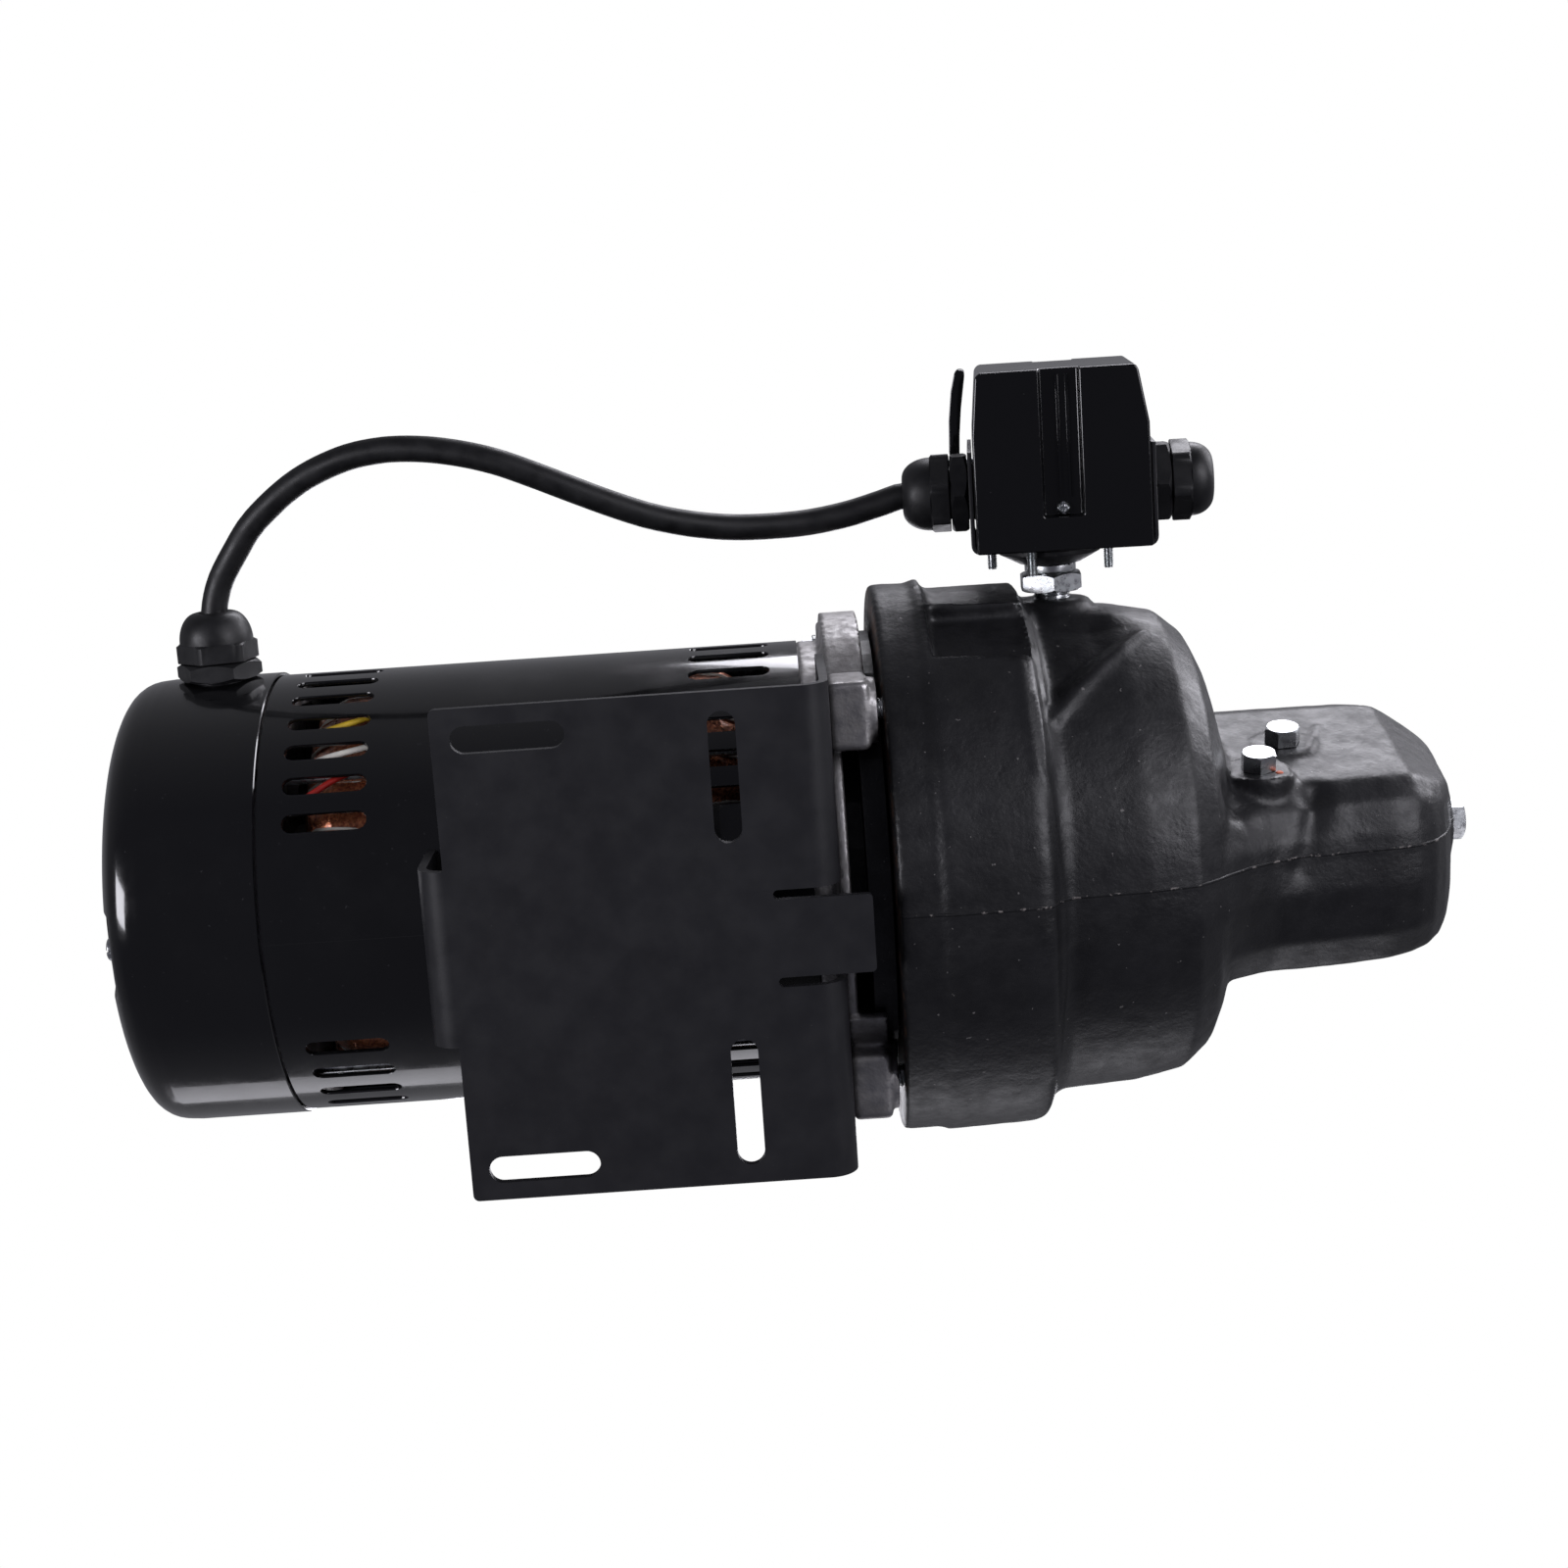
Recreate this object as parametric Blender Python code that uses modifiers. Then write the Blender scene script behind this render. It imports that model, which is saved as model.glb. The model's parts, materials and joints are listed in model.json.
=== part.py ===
"""Shallow well jet pump: an open drip-proof motor, a cast iron jet casing and a pressure switch.

Metres, +Z up. The origin is on the underside of the base plate, below the shaft, at the middle of its bolt
slots. +X runs along the shaft from the motor to the casing's nose, and the pressure switch points along -Y.
"""

import math

import bmesh
import bpy
from mathutils import Matrix, Vector

# Driving dimensions
AXIS_HEIGHT = 0.110
GAP = 0.0003

SHELL_RADIUS = 0.078
SHELL_SHEET = 0.0015
SHELL_REAR = -0.1237
SHELL_FRONT = 0.0597
CAP_RADIUS = 0.079
CAP_MOUTH = -0.1243
VENT_LENGTH = 0.028
VENT_WIDTH = 0.0062
VENT_ANGLES = range(30, 101, 10)
REAR_VENTS_X = -0.1010
FRONT_VENTS_X = 0.0355

SHAFT_RADIUS = 0.008
BEARING_RADIUS = 0.020
STATOR_RADIUS = 0.0761
STATOR_BORE = 0.043
STATOR_REAR = -0.072
STATOR_FRONT = 0.008
ROTOR_RADIUS = 0.0424
THROUGH_BOLT_CIRCLE = 0.072

LUG_OFFSET = 0.0635
LUG_WIDTH = 0.023
LUG_REAR = 0.0681
LUG_FRONT = 0.0815
BOSS_FRONT = 0.0840
SEAL_PLATE_REAR = 0.0774
SEAL_PLATE_FRONT = 0.0850

CASING_REAR = 0.0860
CASING_SHIFT = 0.0017
CASING_RADIUS = 0.0978
NOSE_END = 0.2888
SUCTION_FACE = 0.2905
SUCTION_HEIGHT = 0.034
SUCTION_BORE = 0.0195
DISCHARGE_X = 0.165
DISCHARGE_TOP = 0.106
DISCHARGE_BORE = 0.0152
CLEAN_OUT_AT = (0.2893, 0.0020, AXIS_HEIGHT)
PRIMING_AT = (0.2380, 0.0020, AXIS_HEIGHT)
# Plugs on the nose's flat facet: X, how far down the facet, and how far their boss stands out
FACET_PLUGS = {"gauge_port_plug": (0.2290, 0.50, 0.0), "prime_port_plug": (0.2150, 0.94, 0.0035)}
PORT_DEPTH = 0.012

BASE_SHEET = 0.0028
BASE_HALF_WIDTH = 0.081
BASE_REAR = -0.0575
BASE_RELIEF = 0.0476
BASE_FOLD_RADIUS = 0.009
BASE_ARM_FACE = 0.0678
BASE_ARM_TOP = 0.062
BASE_TAB_END = 0.0775
BASE_TAB_HALF = 0.0128
SLOT_WIDTH = 0.00885
LONG_SLOTS = ((-0.0335, 0.0708), 0.036)
CROSS_SLOTS = ((0.0334, 0.0535), 0.0424)

SWITCH_X = 0.1508
SWITCH_TURN = math.radians(5)
COVER_LOW_X = 0.1256
COVER_HIGH_X = 0.1852
COVER_TOP = -0.1694
COVER_MOUTH = -0.1083
COVER_HALF_DEPTH = 0.034
COVER_WALL = 0.0020
CHANNEL_X = (0.1489, 0.1621)
CHANNEL_DEPTH = 0.0070
CHANNEL_END = -0.1197
FRAME_FLOOR = -0.1080
FRAME_WALL_TOP = -0.1430
FRAME_SHEET = 0.0014
FRAME_SCREWS = ((-0.0202, 0.0066), (0.0202, -0.0066), (-0.0066, -0.0202), (0.0066, 0.0202))
ARM_PIVOT = (0.1330, -0.1135, AXIS_HEIGHT)
RANGE_STUD = (0.1400, 0.0, AXIS_HEIGHT + 0.0215)
LEVER_PIVOT = (0.0, -0.1350, AXIS_HEIGHT + 0.0215)
SWITCH_GLAND_Y = -0.1270
MOTOR_GLAND_X = -0.1445
GLAND_HEX = 0.0150
CORD_RADIUS = 0.0046

# The cord's middle line from the motor's gland to the switch's gland
CORD_ROUTE = [
    (-0.1445, -0.0935, 0.1100),
    (-0.1445, -0.0990, 0.1100),
    (-0.1438, -0.1050, 0.1100),
    (-0.1408, -0.1135, 0.1098),
    (-0.1348, -0.1230, 0.1094),
    (-0.1261, -0.1341, 0.1088),
    (-0.1107, -0.1460, 0.1073),
    (-0.0947, -0.1530, 0.1055),
    (-0.0806, -0.1556, 0.1041),
    (-0.0669, -0.1554, 0.1028),
    (-0.0534, -0.1532, 0.1020),
    (-0.0401, -0.1494, 0.1014),
    (-0.0270, -0.1438, 0.1018),
    (-0.0140, -0.1377, 0.1028),
    (-0.0009, -0.1317, 0.1042),
    (0.0123, -0.1264, 0.1060),
    (0.0257, -0.1227, 0.1082),
    (0.0392, -0.1204, 0.1104),
    (0.0529, -0.1196, 0.1124),
    (0.0667, -0.1199, 0.1140),
    (0.0806, -0.1218, 0.1150),
    (0.0930, -0.1249, 0.1149),
    (0.0992, -0.1267, 0.1145),
    (0.1072, -0.1270, 0.1138),
]

TURN = {
    "+X": (0.0, math.pi / 2, 0.0),
    "-X": (0.0, -math.pi / 2, 0.0),
    "+Y": (-math.pi / 2, 0.0, 0.0),
    "-Y": (math.pi / 2, 0.0, 0.0),
    "+Z": (0.0, 0.0, 0.0),
}
SHAFT_LINE = (0.0, 0.0, AXIS_HEIGHT)
DIAGONALS = ((-1, -1), (-1, 1), (1, -1), (1, 1))

PAINT = {
    "gloss_black": ((0.012, 0.012, 0.014), 0.18, 0.0),
    "satin_black": ((0.022, 0.023, 0.027), 0.42, 0.0),
    "iron_black": ((0.020, 0.020, 0.021), 0.38, 0.2),
    "nylon": ((0.028, 0.028, 0.030), 0.48, 0.0),
    "rubber": ((0.020, 0.020, 0.020), 0.70, 0.0),
    "aluminium": ((0.62, 0.62, 0.61), 0.48, 1.0),
    "steel": ((0.52, 0.52, 0.52), 0.35, 1.0),
    "zinc": ((0.70, 0.71, 0.72), 0.28, 1.0),
    "brass": ((0.66, 0.50, 0.24), 0.30, 1.0),
    "copper": ((0.45, 0.16, 0.08), 0.35, 0.4),
    "phenolic": ((0.05, 0.03, 0.02), 0.45, 0.0),
    "ceramic": ((0.75, 0.73, 0.68), 0.35, 0.0),
    "white_plastic": ((0.72, 0.72, 0.70), 0.45, 0.0),
}


def clear_scene():
    for old in list(bpy.data.objects):
        bpy.data.objects.remove(old, do_unlink=True)


def collection(name):
    made = bpy.data.collections.new(name)
    bpy.context.scene.collection.children.link(made)
    return made


clear_scene()
PUMP = collection("shallow_well_jet_pump")
CUTTERS = collection("cutters")


def finish(name):
    """The material of a finish, made once."""
    if name in bpy.data.materials:
        return bpy.data.materials[name]
    colour, roughness, metallic = PAINT[name]
    made = bpy.data.materials.new(name)
    made.use_nodes = True
    shader = made.node_tree.nodes["Principled BSDF"]
    shader.inputs["Base Color"].default_value = (*colour, 1.0)
    shader.inputs["Roughness"].default_value = roughness
    shader.inputs["Metallic"].default_value = metallic
    return made


def place(name, mesh, coat, centre=(0, 0, 0), facing="+Z"):
    """A part, or a cutter where coat is None."""
    made = bpy.data.objects.new(name, mesh)
    made.location = centre
    made.rotation_euler = TURN[facing] if isinstance(facing, str) else facing
    if coat is None:
        CUTTERS.objects.link(made)
        made.hide_render = True
        made.display_type = "WIRE"
    else:
        PUMP.objects.link(made)
        mesh.materials.append(finish(coat))
        mesh.shade_smooth()
        mesh.set_sharp_from_angle(angle=math.radians(35))
    return made


def mesh_of(name, grid):
    bmesh.ops.recalc_face_normals(grid, faces=grid.faces)
    mesh = bpy.data.meshes.new(name)
    grid.to_mesh(mesh)
    grid.free()
    return mesh


def turned(name, coat, outline, centre=SHAFT_LINE, facing="+X", steps=24):
    """A turned solid. outline holds (along, radius); one that starts and ends on the axis closes there."""
    area = sum(r0 * a1 - r1 * a0 for (a0, r0), (a1, r1) in zip(outline, outline[1:] + outline[:1]))
    points = outline[::-1] if area > 0 else outline
    on_axis = points[0][1] == 0 and points[-1][1] == 0
    grid = bmesh.new()
    ring = [grid.verts.new((radius, 0, along)) for along, radius in points]
    for start, end in zip(ring, ring[1:]):
        grid.edges.new((start, end))
    if not on_axis:
        grid.edges.new((ring[-1], ring[0]))
    mesh = bpy.data.meshes.new(name)
    grid.to_mesh(mesh)
    grid.free()
    made = place(name, mesh, coat, centre, facing)
    screw = made.modifiers.new("turn", "SCREW")
    screw.steps = screw.render_steps = steps
    screw.use_merge_vertices = True
    screw.merge_threshold = 0.00001
    screw.use_smooth_shade = coat is not None
    return made


def tube(name, coat, low, high, outer, inner, **where):
    return turned(name, coat, [(low, inner), (low, outer), (high, outer), (high, inner)], **where)


def rod(name, coat, low, high, radius, **where):
    return turned(name, coat, [(low, 0), (low, radius), (high, radius), (high, 0)], **where)


def box(name, coat, low, high):
    low, high = Vector(low), Vector(high)
    grid = bmesh.new()
    bmesh.ops.create_cube(grid, size=1.0, matrix=Matrix.Diagonal((*(high - low), 1.0)))
    return place(name, mesh_of(name, grid), coat, (low + high) / 2)


def prism(name, coat, outline, low, high, **where):
    """A flat outline in X and Y, extruded along Z from low to high."""
    grid = bmesh.new()
    face = grid.faces.new([grid.verts.new((x, y, low)) for x, y in outline])
    pulled = bmesh.ops.extrude_face_region(grid, geom=[face])["geom"]
    moved = [part for part in pulled if isinstance(part, bmesh.types.BMVert)]
    bmesh.ops.translate(grid, verts=moved, vec=(0, 0, high - low))
    return place(name, mesh_of(name, grid), coat, **where)


def ring_points(radius, count, phase=0.0):
    steps = [phase + math.tau * step / count for step in range(count)]
    return [(radius * math.cos(step), radius * math.sin(step)) for step in steps]


def slot_points(length, width, across=False, steps=5):
    """The outline of a slot with round ends, along X or, if across, along Y."""
    radius = width / 2
    reach = length / 2 - radius
    points = []
    for side in (1, -1):
        for step in range(steps + 1):
            turn = math.pi * (step / steps - 0.5)
            points.append((side * (reach + radius * math.cos(turn)), side * radius * math.sin(turn)))
    return [(-y, x) for x, y in points] if across else points


def combine(target, other, operation):
    step = target.modifiers.new(other.name, "BOOLEAN")
    step.operation = operation
    step.solver = "EXACT"
    step.object = other
    return target


def cut(target, *tools):
    for tool in tools:
        combine(target, tool, "DIFFERENCE")
    return target


def join(target, *tools):
    for tool in tools:
        combine(target, tool, "UNION")
    return target


def polar(angle, radius):
    """Y and Z of a point round the shaft, at an angle from straight down towards -Y."""
    turn = math.radians(angle)
    return -radius * math.sin(turn), AXIS_HEIGHT - radius * math.cos(turn)


def ring_sector(start, end, inner, outer):
    """The outline of a piece of a ring, between two angles from straight down, for a prism along +X."""
    steps = round((end - start) / 6)
    turns = [math.radians(start + (end - start) * step / steps) for step in range(steps + 1)]
    points = [(inner * math.cos(turn), -inner * math.sin(turn)) for turn in turns]
    return points + [(outer * math.cos(turn), -outer * math.sin(turn)) for turn in reversed(turns)]


def motor_shell():
    inside = SHELL_RADIUS - SHELL_SHEET
    shell = tube("motor_shell", "gloss_black", SHELL_REAR, SHELL_FRONT, SHELL_RADIUS, inside, steps=40)
    for row, along in (("rear", REAR_VENTS_X), ("front", FRONT_VENTS_X)):
        for side in (-1, 1):
            for angle in VENT_ANGLES:
                y, z = polar(side * angle, SHELL_RADIUS)
                name = f"vent_{row}_{side * angle}"
                vent = prism(name, None, slot_points(VENT_LENGTH, VENT_WIDTH, steps=3), -0.004, 0.004)
                vent.location = (along, y, z)
                vent.rotation_euler = (-math.radians(side * angle), 0, 0)
                cut(shell, vent)


def rear_end_cap():
    sheet = SHELL_SHEET
    outside = [
        (-0.1860, 0.0),
        (-0.1852, 0.0220),
        (-0.1832, 0.0400),
        (-0.1812, 0.0510),
        (-0.1793, 0.0600),
        (-0.1776, 0.0670),
        (-0.1758, 0.0722),
        (-0.1732, 0.0760),
        (-0.1690, 0.0783),
        (-0.1625, CAP_RADIUS),
        (CAP_MOUTH, CAP_RADIUS),
    ]
    inside = [
        (CAP_MOUTH, CAP_RADIUS - sheet),
        (-0.1625, CAP_RADIUS - sheet),
        (-0.1685, 0.0768),
        (-0.1721, 0.0749),
        (-0.1744, 0.0714),
        (-0.1762, 0.0663),
        (-0.1779, 0.0594),
        (-0.1798, 0.0505),
        (-0.1818, 0.0396),
        (-0.1837, 0.0218),
        (-0.1845, 0.0),
    ]
    cap = turned("rear_end_cap", "gloss_black", outside + inside, steps=40)
    # The pocket in the rim, where a cap screw is reached
    low = AXIS_HEIGHT - 0.09
    solid = turned("cap_pocket_wall", None, outside + [(CAP_MOUTH, 0.0)], steps=40)
    wall = box("cap_pocket_block", None, (-0.21, -0.0149, low), (-0.1730, 0.0181, AXIS_HEIGHT - 0.0500))
    combine(solid, wall, "INTERSECT")
    pocket = box("cap_pocket", None, (-0.21, -0.0134, low), (-0.1745, 0.0166, AXIS_HEIGHT - 0.0515))
    gland_at = (MOTOR_GLAND_X, 0, AXIS_HEIGHT)
    thread = rod("cap_gland_hole", None, 0.060, 0.090, 0.0114, centre=gland_at, facing="-Y", steps=16)
    cut(join(cap, solid), pocket, thread)
    screw_at = (0, 0.0006, AXIS_HEIGHT - 0.0630)
    head = [(-0.1782, 0), (-0.1782, 0.0034), (-0.1776, 0.0040), (-0.1748, 0.0040), (-0.1748, 0)]
    turned("cap_screw", "zinc", head, centre=screw_at, steps=8)


def through_bolt_notches(target, name, low, high):
    for index, (side, rise) in enumerate(DIAGONALS):
        depth = THROUGH_BOLT_CIRCLE + 0.0035
        notch = box(f"{name}_{index}", None, (low, -0.0025, depth - 0.006), (high, 0.0025, 0.085))
        middle = Vector(((low + high) / 2, 0, (depth - 0.006 + 0.085) / 2))
        turn = Matrix.Rotation(math.atan2(-side, rise), 4, "X")
        notch.matrix_world = Matrix.Translation(SHAFT_LINE) @ turn @ Matrix.Translation(middle)
        cut(target, notch)


def rear_end_bell():
    outline = [
        (-0.1290, STATOR_RADIUS),
        (-0.1170, STATOR_RADIUS),
        (-0.1170, 0.0680),
        (-0.1230, 0.0680),
        (-0.1230, 0.0240),
        (-0.1190, 0.0240),
        (-0.1190, 0.0110),
        (-0.1210, 0.0110),
        (-0.1210, BEARING_RADIUS + GAP),
        (-0.1340, BEARING_RADIUS + GAP),
        (-0.1340, 0.0240),
        (-0.1270, 0.0240),
        (-0.1270, 0.0640),
        (-0.1290, 0.0640),
    ]
    bell = turned("rear_end_bell", "aluminium", outline)
    for step in range(4):
        y, z = polar(90 * step, 0.044)
        cut(bell, rod(f"bell_window_{step}", None, -0.13, -0.12, 0.012, centre=(0, y, z), steps=10))
    through_bolt_notches(bell, "bell_notch", -0.14, -0.11)


def stator():
    length = (STATOR_REAR, STATOR_FRONT)
    core = tube("stator_core", "steel", *length, STATOR_RADIUS, STATOR_BORE, steps=32)
    through_bolt_notches(core, "stator_notch", STATOR_REAR - 0.01, STATOR_FRONT + 0.01)
    profile = [(0, 0.0465), (0.032, 0.0465), (0.0400, 0.0560), (0.0360, 0.0685), (0, 0.0685)]
    ends = (("rear_windings", STATOR_REAR - GAP, -1.0), ("front_windings", STATOR_FRONT + GAP, 0.84))
    for name, root, stretch in ends:
        turned(name, "copper", [(root + along * stretch, radius) for along, radius in profile])


def front_bracket():
    outline = [
        (0.0535, BEARING_RADIUS + GAP),
        (0.0535, 0.0245),
        (0.0675, 0.0245),
        (0.0675, 0.0690),
        (0.0540, 0.0690),
        (0.0540, STATOR_RADIUS),
        (0.0600, STATOR_RADIUS),
        (0.0600, 0.0776),
        (0.0679, 0.0776),
        (0.0679, 0.0820),
        (0.0717, 0.0820),
        (0.0717, 0.0120),
        (0.0680, 0.0120),
        (0.0680, BEARING_RADIUS + GAP),
    ]
    bracket = turned("front_bracket", "aluminium", outline)
    for step in range(4):
        y, z = polar(90 * step, 0.046)
        cut(bracket, rod(f"bracket_window_{step}", None, 0.06, 0.08, 0.013, centre=(0, y, z), steps=10))
    for start, end, outer in ((40, 140, 0.0873), (-152, -28, 0.0840)):
        reach = {"low": LUG_REAR + 0.0002, "high": LUG_FRONT - 0.0002, "centre": SHAFT_LINE, "facing": "+X"}
        join(bracket, prism(f"rim_{end}", None, ring_sector(start, end, 0.0806, outer), **reach))
    half = LUG_WIDTH / 2
    for index, (side, rise) in enumerate(DIAGONALS):
        y, z = side * LUG_OFFSET, AXIS_HEIGHT + rise * LUG_OFFSET
        lug = box(f"lug_{index}", None, (LUG_REAR, y - half, z - half), (LUG_FRONT, y + half, z + half))
        at = (0, y, z)
        boss = rod(f"lug_boss_{index}", None, LUG_FRONT - 0.001, BOSS_FRONT, 0.0110, centre=at, steps=16)
        hole = rod(f"lug_hole_{index}", None, 0.060, 0.090, 0.0046, centre=at, steps=10)
        cut(join(bracket, lug, boss), hole)
    through_bolt_notches(bracket, "bracket_notch", 0.050, 0.0645)


def casing_bolts():
    """Four long bolts through the bracket's lugs into the casing. The lower two hold the base's arms too."""
    for index, (side, rise) in enumerate(DIAGONALS):
        seat = LUG_REAR - GAP if rise > 0 else BASE_ARM_FACE - BASE_SHEET - GAP
        at = (0, side * LUG_OFFSET, AXIS_HEIGHT + rise * LUG_OFFSET)
        name = f"casing_bolt_{index + 1}"
        bolt = prism(name, "zinc", ring_points(0.0066, 6), seat - 0.0053, seat, centre=at, facing="+X")
        shank = rod(f"bolt_shank_{index}", None, seat - 0.001, 0.0990, 0.0040, centre=at, steps=12)
        washer = rod(f"bolt_washer_{index}", None, seat - 0.0015, seat, 0.0075, centre=at, steps=12)
        join(bolt, washer, shank)


def rotor():
    shaft = [
        (-0.1580, 0),
        (-0.1580, 0.0070),
        (-0.1570, SHAFT_RADIUS),
        (0.0960, SHAFT_RADIUS),
        (0.0960, 0.0060),
        (0.1150, 0.0060),
        (0.1155, 0),
    ]
    turned("shaft", "steel", shaft, steps=20)
    tube("rotor_core", "aluminium", STATOR_REAR, STATOR_FRONT, ROTOR_RADIUS, SHAFT_RADIUS + GAP, steps=32)
    tube("rear_bearing", "steel", -0.1335, -0.1215, BEARING_RADIUS, SHAFT_RADIUS + GAP)
    tube("front_bearing", "steel", 0.0555, 0.0675, BEARING_RADIUS, SHAFT_RADIUS + GAP)
    inner = SHAFT_RADIUS + GAP
    slinger = [(0.0730, inner), (0.0730, 0.0190), (0.0742, 0.0200), (0.0742, 0.0110), (0.0765, 0.0110)]
    turned("water_slinger", "rubber", slinger + [(0.0765, inner)], steps=20)


def cooling_fan():
    fan = tube("cooling_fan", "white_plastic", 0.0443, 0.0465, 0.040, SHAFT_RADIUS + GAP, steps=20)
    join(fan, tube("fan_hub", None, 0.0443, 0.0525, 0.0130, SHAFT_RADIUS + GAP, steps=20))
    for step in range(8):
        blade = box(f"fan_blade_{step}", None, (0.0450, -0.0010, 0.0120), (0.0520, 0.0010, 0.0580))
        turn = Matrix.Rotation(math.tau * step / 8, 4, "X")
        blade.matrix_world = Matrix.Translation(SHAFT_LINE) @ turn @ Matrix.Translation((0.0485, 0, 0.0350))
        join(fan, blade)


def start_gear():
    """The centrifugal governor, its sliding collar, and the switch board and capacitor in the rear cap."""
    inner = SHAFT_RADIUS + GAP
    governor = tube("governor", "steel", -0.1440, -0.1375, 0.0120, inner, steps=16)
    disc = tube("governor_disc", None, -0.1395, -0.1380, 0.0230, inner + 0.0015, steps=16)
    join(governor, disc)
    for side in (-1, 1):
        low, high = sorted((AXIS_HEIGHT + side * 0.0160, AXIS_HEIGHT + side * 0.0250))
        weight = box(f"governor_weight_{side}", None, (-0.1470, -0.0070, low), (-0.1385, 0.0070, high))
        join(governor, weight)
    collar = [(-0.1475, inner), (-0.1475, 0.0105), (-0.1495, 0.0105), (-0.1495, 0.0150), (-0.1515, 0.0150)]
    turned("governor_collar", "phenolic", collar + [(-0.1515, inner)], steps=16)
    low, high = AXIS_HEIGHT - 0.0400, AXIS_HEIGHT + 0.0420
    board = box("start_switch", "phenolic", (-0.1600, -0.0420, low), (-0.1575, 0.0145, high))
    cut(board, rod("start_switch_hole", None, -0.17, -0.15, 0.0120, steps=20))
    low, high = AXIS_HEIGHT - 0.0360, AXIS_HEIGHT - 0.0170
    contact = box("start_switch_arm", None, (-0.1578, -0.0060, low), (-0.1558, 0.0060, high))
    low, high = AXIS_HEIGHT + 0.0180, AXIS_HEIGHT + 0.0380
    terminals = box("start_switch_block", None, (-0.1690, -0.0380, low), (-0.1595, -0.0200, high))
    join(board, contact, terminals)
    can = [(-0.0300, 0), (-0.0300, 0.0155), (-0.0285, 0.0170), (0.0300, 0.0170), (0.0300, 0.0140)]
    can += [(0.0285, 0.0140), (0.0285, 0)]
    turned("start_capacitor", "phenolic", can, centre=(-0.1550, 0.0450, AXIS_HEIGHT), facing="+Z", steps=16)


def base_bracket():
    """The folded sheet base: a plate, two arms up to the motor's bracket, a tab and a rear saddle arm."""
    half = BASE_SHEET / 2
    bend = BASE_FOLD_RADIUS - half
    front = [(BASE_RELIEF, half)]
    rear = []
    for step in range(5):
        turn = math.pi / 2 * step / 4
        out, up = bend * math.sin(turn), half + bend * (1 - math.cos(turn))
        front.append((BASE_ARM_FACE - BASE_FOLD_RADIUS + out, up))
        rear.append((BASE_REAR - out, up))
    front.append((BASE_ARM_FACE - half, BASE_ARM_TOP))
    rear.append((BASE_REAR - bend, 0.045))
    tab = [(BASE_RELIEF, half), (BASE_TAB_END, half)]
    plate = [(BASE_REAR, half), (BASE_RELIEF, half)]
    relief, saddle = 0.016, 0.029
    marks = [BASE_TAB_HALF, relief, saddle, BASE_HALF_WIDTH]
    marks = [-mark for mark in reversed(marks)] + marks
    grid = bmesh.new()
    for low, high in zip(marks, marks[1:]):
        middle = abs(low + high) / 2
        strips = [plate]
        if middle > relief:
            strips.append(front)
        if middle < BASE_TAB_HALF:
            strips.append(tab)
        if middle < saddle:
            strips.append(rear)
        for strip in strips:
            for (x0, z0), (x1, z1) in zip(strip, strip[1:]):
                corners = [(x0, low, z0), (x1, low, z1), (x1, high, z1), (x0, high, z0)]
                grid.faces.new([grid.verts.new(corner) for corner in corners])
    bmesh.ops.remove_doubles(grid, verts=grid.verts, dist=0.00001)
    base = place("base_bracket", mesh_of("base_bracket", grid), "satin_black")
    sheet = base.modifiers.new("sheet", "SOLIDIFY")
    sheet.thickness = BASE_SHEET
    sheet.offset = 0.0
    sheet.use_even_offset = True
    for ((x, y), length), across in ((LONG_SLOTS, False), (CROSS_SLOTS, True)):
        for side in (-1, 1):
            outline = slot_points(length, SLOT_WIDTH, across)
            at = (x, side * y, 0)
            cut(base, prism(f"base_slot_{across}_{side}", None, outline, -0.01, 0.01, centre=at))
    cut(base, rod("base_arm_clearance", None, 0.060, 0.075, 0.0800, steps=40))
    cut(base, rod("base_saddle_clearance", None, -0.075, -0.0600, SHELL_RADIUS + 0.0024, steps=40))
    for side in (-1, 1):
        at = (0, side * LUG_OFFSET, AXIS_HEIGHT - LUG_OFFSET)
        cut(base, rod(f"base_bolt_hole_{side}", None, 0.055, 0.075, 0.0046, centre=at, steps=12))
    sector = [polar(20 - 40 * step / 8, SHELL_RADIUS + 0.0005) for step in range(9)]
    sector += [polar(-20 + 40 * step / 8, SHELL_RADIUS + 0.0020) for step in range(9)]
    outline = [(-(z - AXIS_HEIGHT), y) for y, z in sector]
    prism("rear_cushion", "rubber", outline, -0.0680, -0.0610, centre=SHAFT_LINE, facing="+X")


def seal_set():
    plate = [(SEAL_PLATE_REAR, 0.0150), (SEAL_PLATE_REAR, 0.0800), (SEAL_PLATE_FRONT, 0.0800)]
    plate += [(SEAL_PLATE_FRONT, 0.0600), (0.0872, 0.0600), (0.0872, 0.0150)]
    made = turned("seal_plate", "iron_black", plate, steps=40)
    half = LUG_WIDTH / 2 + 0.0008
    for index, (side, rise) in enumerate(DIAGONALS):
        y, z = side * LUG_OFFSET, AXIS_HEIGHT + rise * LUG_OFFSET
        scallop = box(f"scallop_{index}", None, (0.07, y - half, z - half), (0.09, y + half, z + half))
        cut(made, scallop)
    join(made, tube("seal_plate_hub", None, 0.0722, SEAL_PLATE_REAR + 0.0004, 0.0600, 0.0540))
    tube("casing_gasket", "rubber", SEAL_PLATE_FRONT + GAP, CASING_REAR - GAP, 0.0710, 0.0640)
    tube("seal_seat", "ceramic", 0.0800, 0.0872, 0.0147, 0.0100, steps=20)
    head = [(0.0875, SHAFT_RADIUS + GAP), (0.0875, 0.0130), (0.0905, 0.0140), (0.0955, 0.0140)]
    turned("seal_head", "rubber", head + [(0.0955, SHAFT_RADIUS + GAP)], steps=20)


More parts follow.
